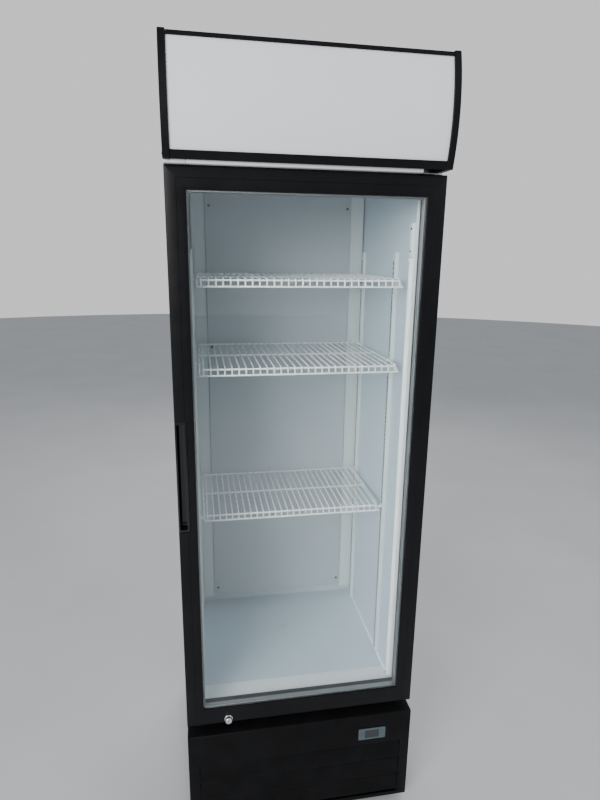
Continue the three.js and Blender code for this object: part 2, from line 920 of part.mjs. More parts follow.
function canopyHousing() {
  const roofFront = 20 + touch;
  return join(
    block(across(betweenCaps), [roofFront, canopyBack], [canopyTop - panelSheet, canopyTop]),
    block(
      across(betweenCaps),
      [canopyBack - panelSheet, canopyBack],
      [cabinetHeight + touch, canopyTop],
    ),
  );
}

function signPanel() {
  const low = railFloorTop + touch;
  const high = canopyTop - railSheet - touch;
  return bowStrip([low, high], [signSetback, signSetback + signThickness]);
}

function canopyLamp() {
  const z = (cabinetHeight + canopyTop) / 2;
  const back = canopyBack - panelSheet - touch;
  const tray = block(across(betweenCaps - 25), [back - 16, back], [z - 20, z + 20]);
  const lamp = bar("x", [back - 24, z], lampRadius, across(betweenCaps - 35), 16);
  return join(tray, lamp);
}

piece("canopy_left_end_cap", endCap(-1), blackSatin());
piece("canopy_right_end_cap", endCap(1), blackSatin());
piece("canopy_bottom_rail", bottomRail(), blackSatin());
piece("canopy_top_rail", topRail(), blackSatin());
piece("canopy_housing", canopyHousing(), whiteSteel());
piece("sign_panel", signPanel(), finish(0xe8ebef, 0.3));
piece("canopy_lamp", canopyLamp(), finish(0xf6f8f8, 0.3));

// ---- Hinge brackets, with a pin each ----
function hingeBracket([plateLow, plateHigh], flangeHeights, pinHeights) {
  const x = [hingeX - 45, hingeX + 12];
  const back = cabinetFront - touch;
  return join(
    block(x, [hingeY - 12, back], [plateLow, plateHigh]),
    block([x[0], halfWidth - capWidth - 5], [back - hingePlate, back], flangeHeights),
    bar("z", [hingeX, hingeY], hingePinRadius, pinHeights),
  );
}
const topPlate = doorTop + topHingeGap;
const bottomPlate = doorBottom - hingeGap;
const pinReach = bushDepth - 4;
piece(
  "top_hinge_bracket",
  hingeBracket([topPlate, topPlate + hingePlate], [topPlate, topPlate + 45], [doorTop - pinReach, topPlate + 1]),
  zincSteel(),
);
piece(
  "bottom_hinge_bracket",
  hingeBracket(
    [bottomPlate - hingePlate, bottomPlate],
    [baseTop + touch, bottomPlate],
    [bottomPlate - 1, doorBottom + pinReach],
  ),
  zincSteel(),
);

// ---- Door frame ----
// Frame sections run from the outer edge inwards (u) and from the front back (y).
const glassFront = frameLip + touch;
const glassBack = glassFront + 2 * glassThickness + glassSpace;
const openingHalf = halfWidth - stileWidth;
const openingLow = doorBottom + railHeight;
const openingHigh = doorTop - railHeight;
const rabbet = [frameLip, glassBack + touch];

function frameMember(width, place) {
  const inner = width - glassBite - frameWall;
  return cut(
    place([0, width], [0, doorThickness], 0),
    place([frameWall, inner], [frameWall, doorThickness - frameWall], sheet),
    place([width - glassBite, width + sheet], rabbet, sheet),
  );
}

function stile(side) {
  return frameMember(stileWidth, ([outer, inner], y, past) =>
    block(onSide(side, halfWidth - inner, halfWidth - outer), y, [doorBottom - past, doorTop + past]),
  );
}

// A rail above (side 1) or below (side -1) the glass.
function rail(side) {
  return frameMember(railHeight, ([outer, inner], y, past) =>
    block(
      across(openingHalf - touch + past),
      y,
      side > 0 ? [doorTop - inner, doorTop - outer] : [doorBottom + outer, doorBottom + inner],
    ),
  );
}

const handleLow = doorBottom + handleBottom;
const handleHigh = handleLow + handleLength;

function handlePocket(grown) {
  return block(
    [-halfWidth - grown, -halfWidth + handleWidth - touch + grown],
    [-grown, handleDepth - touch + grown],
    [handleLow + touch - grown, handleHigh - touch + grown],
  );
}

// A finger recess open to the front, with a lip on its inner side.
function handleInsert() {
  const outer = -halfWidth + handleRim;
  const inner = -halfWidth + handleWidth - touch - handleShell;
  const heights = [handleLow + 2 * handleShell, handleHigh - 2 * handleShell];
  return cut(
    handlePocket(0),
    block([outer, inner - handleLip], [-sheet, handleDepth / 2], heights),
    block([outer, inner], [handleDepth / 3, handleDepth - touch - handleShell], heights),
  );
}

const lockX = -halfWidth + lockInset;
const lockZ = doorBottom + lockRise;
const camFront = 29;
const camThickness = 4;

function lockHoles() {
  const clearance = running + touch;
  const barrel = bar("y", [lockZ, lockX], lockRadius + running, [-sheet, frameWall + sheet]);
  const slot = block(
    [lockX - 6, lockX + lockCamLength + 2],
    [camFront - clearance, camFront + camThickness + clearance],
    [doorBottom - sheet, doorBottom + frameWall + sheet],
  );
  return join(barrel, slot);
}

// The keyed barrel with the cam that turns down through the rail's lower side.
function lockBarrel() {
  const head = bar("y", [lockZ, lockX], lockRadius + 2.5, [-touch - 12, -touch], 28);
  const body = bar("y", [lockZ, lockX], lockRadius, [-6, camFront + 1], 28);
  const cam = block(
    [lockX - 5, lockX + lockCamLength],
    [camFront, camFront + camThickness],
    [lockZ - 5, lockZ + 5],
  );
  const keyway = block([lockX - 1, lockX + 1], [-touch - 12 - sheet, -touch - 8], [lockZ - 4, lockZ + 4]);
  return cut(join(head, body, cam), keyway);
}

piece("door_left_stile", cut(stile(-1), handlePocket(touch)), blackSatin(), door);
piece("door_right_stile", stile(1), blackSatin(), door);
piece("door_top_rail", rail(1), blackSatin(), door);
piece("door_bottom_rail", cut(rail(-1), lockHoles()), blackSatin(), door);
piece("handle_insert", handleInsert(), finish(0x060607, 0.12), door);
piece("lock_barrel", lockBarrel(), finish(0xd8dadb, 0.15, 1), door);

// A plug in each end of the hinge stile carries a pin.
function hingeBush(end, collar) {
  const depth = end > 0 ? [doorTop - bushDepth, doorTop] : [doorBottom, doorBottom + bushDepth];
  const plug = block(
    [halfWidth - stileWidth + glassBite + frameWall + touch, halfWidth - frameWall - touch],
    [frameWall + touch, doorThickness - frameWall - touch],
    depth,
  );
  const hole = bar("z", [hingeX, hingeY], hingePinRadius + running, [
    doorBottom - hingeGap - sheet,
    doorTop + sheet,
  ]);
  return cut(collar ? plug.add(collar) : plug, hole);
}
const bottomCollar = bar("z", [hingeX, hingeY], hingePinRadius + 4, [bottomPlate + touch, doorBottom + 1]);
piece("top_hinge_bush", hingeBush(1), finish(0x2b2b2c, 0.6), door);
piece("bottom_hinge_bush", hingeBush(-1, bottomCollar), finish(0x2b2b2c, 0.6), door);

// ---- Glazing ----
const paneHalf = openingHalf + glassBite - touch;
const paneHeights = [openingLow - glassBite + touch, openingHigh + glassBite - touch];
const pane = (front) => block(across(paneHalf), [front, front + glassThickness], paneHeights);

// A flat ring in the door's plane from its outer edges and its width.
function ring(half, [low, high], width, y) {
  return cut(
    block(across(half), y, [low, high]),
    block(across(half - width), [y[0] - sheet, y[1] + sheet], [low + width, high - width]),
  );
}

const innerPaneFront = glassFront + glassThickness + glassSpace;
const spacerHeights = [paneHeights[0] + spacerBite, paneHeights[1] - spacerBite];
const spacerY = [glassFront + glassThickness + touch, innerPaneFront - touch];
piece("outer_glass", pane(glassFront), clearGlass(), door);
piece("inner_glass", pane(innerPaneFront), clearGlass(), door);
piece(
  "glass_spacer",
  ring(paneHalf - spacerBite, spacerHeights, spacerWidth, spacerY),
  finish(0xb9bec1, 0.3, 1),
  door,
);

// The seal's hinge side stops where it still swings clear of the cabinet as the door opens.
const gasketHalf = hingeX + gasketInset;
piece(
  "door_gasket",
  ring(
    gasketHalf,
    [doorBottom + gasketInset, doorTop - gasketInset],
    gasketWidth,
    [doorThickness + touch, cabinetFront - touch],
  ),
  finish(0xa9adb0, 0.7),
  door,
);

// ---- Place the object over the origin ----
const foremost = -canopyReach - canopyBulge;
merchandiser.position.y = -(foremost + cabinetBack) / 2;

export default merchandiser;
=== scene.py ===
"""Looks of an upright glass door merchandiser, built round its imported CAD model.

Metres, +Z up. Seen from the front, +X is to the right and the front faces -Y.
Places come from the CAD nodes' boxes; the sizes named below are the details that Blender adds.
"""

import json
import math

import bmesh
import bpy
from mathutils import Matrix, Vector


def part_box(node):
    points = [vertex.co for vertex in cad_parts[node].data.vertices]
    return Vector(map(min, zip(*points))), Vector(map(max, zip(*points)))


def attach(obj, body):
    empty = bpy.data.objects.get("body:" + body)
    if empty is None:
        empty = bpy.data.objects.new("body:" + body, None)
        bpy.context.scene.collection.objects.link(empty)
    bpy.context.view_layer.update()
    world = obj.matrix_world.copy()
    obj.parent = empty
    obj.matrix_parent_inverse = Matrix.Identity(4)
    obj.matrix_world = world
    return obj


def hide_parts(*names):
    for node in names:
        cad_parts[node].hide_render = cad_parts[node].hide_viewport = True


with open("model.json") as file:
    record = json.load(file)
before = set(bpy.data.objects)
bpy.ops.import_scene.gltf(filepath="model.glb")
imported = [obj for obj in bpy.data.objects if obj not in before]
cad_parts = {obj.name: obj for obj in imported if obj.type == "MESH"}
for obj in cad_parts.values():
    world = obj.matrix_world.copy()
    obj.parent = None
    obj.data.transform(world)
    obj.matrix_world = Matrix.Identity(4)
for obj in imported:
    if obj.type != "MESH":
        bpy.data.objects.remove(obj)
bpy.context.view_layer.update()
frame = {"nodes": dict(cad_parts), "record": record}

SLOT_OF = {row["node"]: row["material_slot"] for row in frame["record"]["subparts"]}
SIDES = {"left": -1, "right": 1}
AXES = {"x": 0, "y": 1, "z": 2}


# ---- Camera, floor and light ----
FLOOR_RADIUS = 14
LIT_HEIGHT = 1.0
CAMERA_PLACE = Vector((-0.248, -1.553, 1.564))
CAMERA_YAW = math.radians(10.15)
CAMERA_PITCH = math.radians(14.32)
CAMERA_ROLL = math.radians(0.77)
CAMERA_LENS = 25.7


def link(made):
    bpy.context.scene.collection.objects.link(made)
    return made


def make_camera():
    yaw, pitch, roll = CAMERA_YAW, CAMERA_PITCH, CAMERA_ROLL
    ahead = Vector((math.sin(yaw) * math.cos(pitch), math.cos(yaw) * math.cos(pitch), -math.sin(pitch)))
    level = Vector((math.cos(yaw), -math.sin(yaw), 0))
    upright = level.cross(ahead)
    right = level * math.cos(roll) + upright * math.sin(roll)
    above = upright * math.cos(roll) - level * math.sin(roll)
    camera = link(bpy.data.objects.new("camera", bpy.data.cameras.new("camera")))
    camera.data.lens = CAMERA_LENS
    turned = Matrix((right, above, -ahead)).transposed().to_4x4()
    camera.matrix_world = Matrix.Translation(CAMERA_PLACE) @ turned
    bpy.context.scene.camera = camera


def softbox(name, place, target, size, power, colour):
    """A large soft lamp that faces a target."""
    lamp = bpy.data.lights.new(name, "AREA")
    lamp.shape = "RECTANGLE"
    lamp.size, lamp.size_y = size
    lamp.energy = power
    lamp.color = colour
    made = link(bpy.data.objects.new(name, lamp))
    made.location = place
    made.rotation_euler = (Vector(target) - Vector(place)).to_track_quat("-Z", "Y").to_euler()


def make_studio():
    """A pale room that shows bright behind the object and lights it more softly than it shows."""
    world = bpy.data.worlds.new("studio")
    world.use_nodes = True
    tree = world.node_tree
    shown = tree.nodes["Background"]
    shown.inputs["Color"].default_value = (0.80, 0.80, 0.81, 1)
    shown.inputs["Strength"].default_value = 1.05
    light = tree.nodes.new("ShaderNodeBackground")
    light.inputs["Color"].default_value = (0.78, 0.82, 0.88, 1)
    light.inputs["Strength"].default_value = 0.55
    ray = tree.nodes.new("ShaderNodeLightPath")
    bounced = tree.nodes.new("ShaderNodeMath")
    bounced.operation = "MAXIMUM"
    tree.links.new(ray.outputs["Is Diffuse Ray"], bounced.inputs[0])
    tree.links.new(ray.outputs["Is Glossy Ray"], bounced.inputs[1])
    mix = tree.nodes.new("ShaderNodeMixShader")
    tree.links.new(bounced.outputs["Value"], mix.inputs["Fac"])
    tree.links.new(shown.outputs["Background"], mix.inputs[1])
    tree.links.new(light.outputs["Background"], mix.inputs[2])
    tree.links.new(mix.outputs["Shader"], tree.nodes["World Output"].inputs["Surface"])
    bpy.context.scene.world = world
    target = (0, 0, LIT_HEIGHT)
    softbox("key_light", (-2.5, -3.4, 2.4), target, (2.0, 1.6), 132, (1.0, 0.99, 0.99))
    softbox("fill_light", (3.0, -2.0, 3.2), target, (2.0, 2.0), 30, (0.95, 0.98, 1.0))
    softbox("back_light", (0.8, 3.0, 3.2), target, (2.2, 2.2), 50, (1.0, 1.0, 1.0))


def make_floor():
    mesh = bpy.data.meshes.new("floor")
    built = bmesh.new()
    bmesh.ops.create_circle(built, cap_ends=True, segments=64, radius=FLOOR_RADIUS)
    built.to_mesh(mesh)
    built.free()
    floor = link(bpy.data.objects.new("floor", mesh))
    mesh.materials.append(
        surface("floor_paint", (0.62, 0.62, 0.62), 0.6, mottle=0.03, mottle_scale=1.5, grain=60, depth=0.1)
    )


# ---- Materials ----
def noise(tree, scale, stretch=(1, 1, 1), detail=3.0):
    """A noise with `scale` features to the metre, drawn out along an axis by a small stretch."""
    place = tree.nodes.new("ShaderNodeTexCoord")
    mapping = tree.nodes.new("ShaderNodeMapping")
    mapping.inputs["Scale"].default_value = [scale * share for share in stretch]
    texture = tree.nodes.new("ShaderNodeTexNoise")
    texture.inputs["Scale"].default_value = 1.0
    texture.inputs["Detail"].default_value = detail
    tree.links.new(place.outputs["Object"], mapping.inputs["Vector"])
    tree.links.new(mapping.outputs["Vector"], texture.inputs["Vector"])
    return texture.outputs["Fac"]


def ramp(tree, value, low_colour, high_colour, low=0.35, high=0.65):
    node = tree.nodes.new("ShaderNodeValToRGB")
    node.color_ramp.elements[0].position = low
    node.color_ramp.elements[1].position = high
    node.color_ramp.elements[0].color = (*low_colour, 1)
    node.color_ramp.elements[1].color = (*high_colour, 1)
    tree.links.new(value, node.inputs["Fac"])
    return node.outputs["Color"]


def ranged(tree, value, low, high):
    node = tree.nodes.new("ShaderNodeMapRange")
    node.inputs["From Min"].default_value = 0.3
    node.inputs["From Max"].default_value = 0.7
    node.inputs["To Min"].default_value = low
    node.inputs["To Max"].default_value = high
    tree.links.new(value, node.inputs["Value"])
    return node.outputs["Result"]


def surface(
    name, colour, roughness, metallic=0.0, mottle=0.04, mottle_scale=5.0, spread=0.05, grain=700.0,
    depth=0.02, stretch=(1, 1, 1), specular=0.5, coat=0.0,
):
    """A material whose colour and gloss wander a little, with a fine grain `depth` mm deep."""
    material = bpy.data.materials.new(name)
    material.use_nodes = True
    tree = material.node_tree
    shader = tree.nodes["Principled BSDF"]
    shader.inputs["Metallic"].default_value = metallic
    shader.inputs["Specular IOR Level"].default_value = specular
    shader.inputs["Coat Weight"].default_value = coat
    shader.inputs["Coat Roughness"].default_value = 0.08
    darker = [channel * (1 - mottle) for channel in colour]
    lighter = [min(1.0, channel * (1 + mottle)) for channel in colour]
    clouds = noise(tree, mottle_scale, stretch)
    tree.links.new(ramp(tree, clouds, darker, lighter), shader.inputs["Base Color"])
    streaks = noise(tree, mottle_scale * 3.7, stretch, 5.0)
    gloss = ranged(tree, streaks, max(0.02, roughness - spread), roughness + spread)
    tree.links.new(gloss, shader.inputs["Roughness"])
    bump = tree.nodes.new("ShaderNodeBump")
    bump.inputs["Distance"].default_value = depth * 0.001
    tree.links.new(noise(tree, grain, stretch, 2.0), bump.inputs["Height"])
    tree.links.new(bump.outputs["Normal"], shader.inputs["Normal"])
    return material


def spangled(name, colour, roughness):
    """Galvanised sheet: crystals a few millimetres across, each with its own grey and gloss."""
    material = surface(name, colour, roughness, metallic=1.0, mottle=0.05, grain=900, depth=0.01)
    tree = material.node_tree
    shader = tree.nodes["Principled BSDF"]
    place = tree.nodes.new("ShaderNodeTexCoord")
    cells = tree.nodes.new("ShaderNodeTexVoronoi")
    cells.inputs["Scale"].default_value = 160.0
    tree.links.new(place.outputs["Object"], cells.inputs["Vector"])
    grey = tree.nodes.new("ShaderNodeSeparateColor")
    tree.links.new(cells.outputs["Color"], grey.inputs["Color"])
    dark = [0.82 * channel for channel in colour]
    tree.links.new(ramp(tree, grey.outputs["Red"], dark, colour, 0.0, 1.0), shader.inputs["Base Color"])
    gloss = ranged(tree, grey.outputs["Green"], roughness - 0.06, roughness + 0.08)
    tree.links.new(gloss, shader.inputs["Roughness"])
    return material


def clear_glass(name, tint):
    """Pane glass that lets lamps shine through, with faint wiping marks in its gloss."""
    material = surface(name, tint, 0.02, spread=0.012, mottle=0.01, mottle_scale=3, grain=4, depth=0.02)
    tree = material.node_tree
    shader = tree.nodes["Principled BSDF"]
    shader.inputs["Transmission Weight"].default_value = 1.0
    shader.inputs["IOR"].default_value = 1.5
    open_to_light = tree.nodes.new("ShaderNodeBsdfTransparent")
    open_to_light.inputs["Color"].default_value = (*tint, 1)
    ray = tree.nodes.new("ShaderNodeLightPath")
    mix = tree.nodes.new("ShaderNodeMixShader")
    tree.links.new(ray.outputs["Is Shadow Ray"], mix.inputs["Fac"])
    tree.links.new(shader.outputs["BSDF"], mix.inputs[1])
    tree.links.new(open_to_light.outputs["BSDF"], mix.inputs[2])
    tree.links.new(mix.outputs["Shader"], tree.nodes["Material Output"].inputs["Surface"])
    return material


LOOKS = {}


def add_look(name, *values, **named):
    """Makes a surface and keeps it under its name."""
    LOOKS[name] = surface(name, *values, **named)


add_look("white_steel", (0.80, 0.81, 0.84), 0.36, mottle=0.02, grain=550, depth=0.03)
add_look("interior_steel", (0.58, 0.635, 0.645), 0.42, mottle=0.02, grain=480, depth=0.04)
# The interior steel again, made darker: painted shade for the back of the cabinet, which stands in shadow.
add_look("duct_painted_shade", (0.40, 0.435, 0.465), 0.45, mottle=0.03, grain=480, depth=0.04)
LOOKS["galvanised_steel"] = spangled("galvanised_steel", (0.62, 0.64, 0.66), 0.38)
add_look("zinc_steel", (0.66, 0.68, 0.70), 0.3, 1.0, mottle=0.08, mottle_scale=60, grain=900)
add_look("foam", (0.78, 0.70, 0.45), 0.9, mottle=0.1, mottle_scale=80, grain=300, depth=0.4)
add_look("liner_plastic", (0.49, 0.575, 0.65), 0.4, mottle=0.02, mottle_scale=3, grain=350)
add_look("coil_aluminium", (0.72, 0.73, 0.74), 0.35, 1.0, mottle=0.06, mottle_scale=40)
add_look("coil_steel", (0.05, 0.052, 0.055), 0.45, 0.6, mottle=0.25, mottle_scale=40)
add_look("light_lens", (0.86, 0.90, 0.92), 0.22, mottle=0.01, grain=1200, depth=0.01, coat=0.3)
add_look("shelf_wire", (0.92, 0.93, 0.93), 0.28, mottle=0.03, mottle_scale=30, grain=400, coat=0.4)
add_look("foot_plastic", (0.03, 0.03, 0.032), 0.5, mottle=0.2, mottle_scale=60, depth=0.05)
add_look(
    "black_plastic", (0.005, 0.005, 0.0055), 0.5, mottle=0.25, mottle_scale=20, depth=0.05,
    specular=0.12,
)
add_look("controller_plastic", (0.085, 0.115, 0.135), 0.38, mottle=0.03, grain=1500)
add_look("dark_window", (0.015, 0.02, 0.025), 0.08, mottle=0.1, mottle_scale=90, coat=0.6)
add_look("compressor_enamel", (0.012, 0.012, 0.013), 0.35, mottle=0.2, depth=0.15, grain=250)
add_look("copper", (0.72, 0.36, 0.22), 0.28, 1.0, mottle=0.15, mottle_scale=50)
add_look("grey_plastic", (0.62, 0.64, 0.64), 0.5, mottle=0.04, mottle_scale=30, depth=0.04)
add_look(
    "black_frame", (0.005, 0.005, 0.006), 0.36, mottle=0.2, mottle_scale=8, grain=900, depth=0.01,
    specular=0.22,
)
add_look("sign_plastic", (0.94, 0.955, 0.99), 0.3, mottle=0.012, mottle_scale=3, grain=200)
add_look("handle_gloss", (0.008, 0.008, 0.009), 0.08, mottle=0.2, mottle_scale=60, grain=90)
add_look("lock_chrome", (0.82, 0.82, 0.84), 0.10, 1.0, mottle=0.05, mottle_scale=200, spread=0.03)
LOOKS["glass"] = clear_glass("glass", (0.965, 0.985, 0.98))
add_look("spacer_aluminium", (0.26, 0.28, 0.29), 0.45, 0.9, mottle=0.05, grain=1500)
add_look("gasket_rubber", (0.46, 0.47, 0.48), 0.6, mottle=0.05, mottle_scale=30, depth=0.05)


# The rear duct cover takes the darker copy of the interior steel, as painted shade.
LOOK_OF = {"rear_duct_panel": "duct_painted_shade"}


def look(name):
    """The material of a CAD node, or of a slot."""
    return LOOKS[LOOK_OF.get(name, SLOT_OF.get(name, name))]


# ---- Outlines and paths ----
def span(node):
    """A CAD node's two ends along x, y and z."""
    low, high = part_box(node)
    return tuple((low[axis], high[axis]) for axis in range(3))


def middle(ends):
    return (ends[0] + ends[1]) / 2


def inset(ends, by):
    return (ends[0] + by, ends[1] - by)


def round_corners(points, radius, steps=4):
    """A line of points with its inner corners rounded."""
    points = [Vector(point) for point in points]
    line = [points[0]]
    for before, corner, after in zip(points, points[1:], points[2:]):
        back, ahead = before - corner, after - corner
        reach = min(radius, back.length / 2, ahead.length / 2)
        start, end = corner + back.normalized() * reach, corner + ahead.normalized() * reach
        for step in range(steps + 1):
            share = step / steps
            line.append(start * (1 - share) ** 2 + corner * 2 * share * (1 - share) + end * share**2)
    return line + [points[-1]]


def rounded_rectangle(u, v, radius, steps=4):
    """The outline of a rectangle with round corners, from its two ends each way."""
    corners = [(u[1], v[1], 0), (u[0], v[1], 1), (u[0], v[0], 2), (u[1], v[0], 3)]
    outline = []
    for corner_u, corner_v, quarter in corners:
        centre = (
            corner_u + (radius if corner_u == u[0] else -radius),
            corner_v + (radius if corner_v == v[0] else -radius),
        )
        for step in range(steps + 1):
            angle = (quarter + step / steps) * math.pi / 2
            outline.append((centre[0] + radius * math.cos(angle), centre[1] + radius * math.sin(angle)))
    return outline


def bent_sheet(line, thickness, radius):
    """The closed outline of a sheet folded along a line, which runs down the middle of its thickness."""
    path = round_corners(line, radius) if len(line) > 2 else [Vector(point) for point in line]
    left, right = [], []
    for i, point in enumerate(path):
        ahead = (path[min(i + 1, len(path) - 1)] - path[max(i - 1, 0)]).normalized()
        normal = Vector((-ahead.y, ahead.x)) * thickness / 2
        left.append(point + normal)
        right.append(point - normal)
    return left + right[::-1]


def at_side(ends, side):
    """Of two ends along x, the one nearer to the left (side -1) or right (side 1) of the cabinet."""
    return ends[1] if side > 0 else ends[0]


def stretch_at(centre, length):
    """The two ends of a length about its middle."""
    return (centre - length / 2, centre + length / 2)


CORNERS = ((-1, -1), (1, -1), (1, 1), (-1, 1))


# ---- Pieces ----
class Piece:
    """One object in the making. Solids are added to it, and then it joins the model on a body."""

    def __init__(self, name, slot, *other_slots):
        self.name = name
        self.slot = SLOT_OF.get(slot, slot)
        self.materials = [look(each) for each in (slot, *other_slots)]
        self.mesh = bmesh.new()

    def loft(self, rings, closed=False, paint=0):
        """Skins matching rings of points, and either caps the two ends or closes back on the first."""
        made = [[self.mesh.verts.new(point) for point in ring] for ring in rings]
        count = len(made[0])
        faces = []
        for ring, after in zip(made, made[1:] + (made[:1] if closed else [])):
            for i in range(count):
                j = (i + 1) % count
                faces.append(self.mesh.faces.new((ring[i], ring[j], after[j], after[i])))
        if not closed:
            faces += [self.mesh.faces.new(made[0]), self.mesh.faces.new(made[-1])]
        for face in faces:
            face.material_index = paint
        return self

    def prism(self, axis, outline, ends, paint=0, edge=0.0):
        """An outline drawn out along x, y or z. It holds the other two coordinates in that order."""
        across = AXES[axis]

        def place(u, v, along):
            point = [u, v]
            point.insert(across, along)
            return point

        if not edge:
            return self.loft([[place(u, v, end) for u, v in outline] for end in ends], paint=paint)
        shrunk = shrink(outline, edge)
        stations = [
            (shrunk, ends[0]), (outline, ends[0] + edge), (outline, ends[1] - edge), (shrunk, ends[1]),
        ]
        return self.loft([[place(u, v, along) for u, v in ring] for ring, along in stations], paint=paint)

    def block(self, x, y, z, edge=0.0, steps=2, paint=0):
        """A box with rounded edges, from its two ends along each axis."""
        verts = bmesh.ops.create_cube(self.mesh, size=2.0)["verts"]
        for vert in verts:
            vert.co = [ends[coordinate > 0] for ends, coordinate in zip((x, y, z), vert.co)]
        for face in {face for vert in verts for face in vert.link_faces}:
            face.material_index = paint
        if edge:
            edges = list({line for vert in verts for line in vert.link_edges})
            bmesh.ops.bevel(self.mesh, geom=edges, offset=edge, segments=steps, profile=0.5, affect="EDGES")
        return self

    def tube(self, points, radius, sides=8, closed=False, paint=0):
        """A round wire or pipe along a line of points."""
        points = [Vector(point) for point in points]
        count = len(points)
        rings = []
        normal = Vector((0.13, 0.07, 1.0))
        for i, point in enumerate(points):
            before = points[i - 1] if i or closed else point
            after = points[(i + 1) % count] if i + 1 < count or closed else point
            along = (after - before).normalized()
            normal = (normal - along * normal.dot(along)).normalized()
            other = along.cross(normal)
            turns = [2 * math.pi * side / sides for side in range(sides)]
            rings.append([point + radius * (normal * math.cos(a) + other * math.sin(a)) for a in turns])
        return self.loft(rings, closed=closed, paint=paint)

    def lathe(self, profile, centre, axis=(0, 0, 1), sides=32, closed=False, paint=0):
        """A turned shape: (radius, height) pairs round an axis through a centre."""
        turn = Vector((0, 0, 1)).rotation_difference(Vector(axis)).to_matrix()
        centre = Vector(centre)
        rings = []
        for radius, height in profile:
            count = sides if radius > 1e-7 else 1
            angles = [2 * math.pi * i / sides for i in range(count)]
            ring = [(radius * math.cos(angle), radius * math.sin(angle), height) for angle in angles]
            rings.append([self.mesh.verts.new(centre + turn @ Vector(point)) for point in ring])
        for lower, upper in zip(rings, rings[1:] + (rings[:1] if closed else [])):
            for i in range(sides):
                j = (i + 1) % sides
                below = [lower[i % len(lower)], lower[j % len(lower)]]
                corners = list(dict.fromkeys([*below, upper[j % len(upper)], upper[i % len(upper)]]))
                if len(corners) > 2:
                    self.mesh.faces.new(corners).material_index = paint
        return self

    def screw(self, centre, axis, radius=0.0035, paint=0):
        """A pan-head screw with a small driver recess, standing on a surface."""
        height = 0.55 * radius
        profile = [
            (0, -height), (0.6 * radius, -height), (0.6 * radius, 0), (radius, 0),
            (0.95 * radius, 0.5 * height), (0.7 * radius, 0.9 * height), (0.38 * radius, height),
            (0.25 * radius, 0.45 * height), (0, 0.4 * height),
        ]
        return self.lathe(profile, centre, axis, 16, paint=paint)

    def nut(self, centre, axis, radius, height, paint=0):
        """A hexagon nut with its corners taken off."""
        profile = [
            (0, 0), (0.92 * radius, 0), (radius, 0.12 * height), (radius, 0.88 * height),
            (0.92 * radius, height), (0, height),
        ]
        return self.lathe(profile, centre, axis, 6, paint=paint)

    def loose(self):
        """A plain object from what is made so far, for a boolean."""
        bmesh.ops.recalc_face_normals(self.mesh, faces=self.mesh.faces)
        mesh = bpy.data.meshes.new(self.name)
        self.mesh.to_mesh(mesh)
        for material in self.materials:
            mesh.materials.append(material)
        return link(bpy.data.objects.new(self.name, mesh))

    def carve(self, tool):
        """Cuts another piece in the making out of this one."""
        whole, cutter = self.loose(), tool.loose()
        modifier = whole.modifiers.new("cut", "BOOLEAN")
        modifier.operation = "DIFFERENCE"
        modifier.solver = "EXACT"
        modifier.object = cutter
        left = whole.evaluated_get(bpy.context.evaluated_depsgraph_get()).to_mesh()
        self.mesh.clear()
        self.mesh.from_mesh(left)
        for used in (whole, cutter):
            bpy.data.objects.remove(used)
        tool.mesh.free()
        return self

    def done(self, body, *nodes, sharp=38):
        """Puts the finished object on its body, in place of the CAD nodes that it stands for."""
        made = self.loose()
        made.data.shade_smooth()
        made.data.set_sharp_from_angle(angle=math.radians(sharp))
        self.mesh.free()
        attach(made, body)
        if nodes:
            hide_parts(*nodes)
        return made


def shrink(outline, by):
    """A convex or gently curved outline moved inwards by a small distance."""
    points = [Vector(point) for point in outline]
    area = sum(a.x * b.y - b.x * a.y for a, b in zip(points, points[1:] + points[:1]))
    turn = 1 if area > 0 else -1
    moved = []
    for before, point, after in zip(points[-1:] + points[:-1], points, points[1:] + points[:1]):
        first = (point - before).normalized()
        second = (after - point).normalized()
        inwards = Vector((-first.y, first.x)) + Vector((-second.y, second.x))
        moved.append(point + inwards.normalized() * by * turn)
    return moved


# ---- Door ----
FRAME_EDGE = 0.003
CREASE_AT = 0.024
CREASE = 0.0004
FRAME_SLOPE = 0.008
PANE_BITE = 0.009
PANE_FRONT = 0.0047
PANE_BACK = 0.0293


def door_member_section(width, depth):
    """A door member's section: inwards from its outer edge, and back from the door's front."""
    quarter = [math.pi / 2 * step / 4 for step in range(5)]
    front = [(FRAME_EDGE * (1 - math.sin(a)), FRAME_EDGE * (1 - math.cos(a))) for a in reversed(quarter)]
    return [
        *front, (CREASE_AT - CREASE, 0), (CREASE_AT, CREASE), (CREASE_AT + CREASE, 0),
        (width - FRAME_SLOPE, 0), (width - 0.0015, 0.0010), (width - 0.0003, 0.0018), (width, 0.0030),
        (width, PANE_FRONT), (width - PANE_BITE, PANE_FRONT), (width - PANE_BITE, PANE_BACK),
        (width, PANE_BACK), (width, depth - 0.002), (width - 0.002, depth), (0.002, depth),
        (0, depth - 0.002),
    ]


def door_frame():
    (left, inner), (front, back), (low, high) = span("door_left_stile")
    stile_width = inner - left
    rail_height = high - span("door_top_rail")[2][0]
    stile = door_member_section(stile_width, back - front)
    rail = door_member_section(rail_height, back - front)

    def corner(side, end):
        edge = high if end > 0 else low
        return [(side * (-left - u), front + y, edge - end * w) for (u, y), (w, _) in zip(stile, rail)]

    members = {
        "door_left_stile": ((-1, -1), (-1, 1)), "door_right_stile": ((1, -1), (1, 1)),
        "door_top_rail": ((-1, 1), (1, 1)), "door_bottom_rail": ((-1, -1), (1, -1)),
    }
    for node, (start, end) in members.items():
        member = Piece(node.replace("door", "frame"), node).loft([corner(*start), corner(*end)])
        if node == "door_left_stile":
            x, y, z = span("handle_insert")
            pocket = Piece("pocket", node)
            pocket.block((x[0] - 0.01, x[1] + 0.0003), (y[0] - 0.01, y[1] + 0.0003), inset(z, -0.0003))
            member.carve(pocket)
        if node == "door_bottom_rail":
            member.carve(lock_space())
        member.done("door", node)


HANDLE_RIM = 0.004
HANDLE_WALL = 0.0023


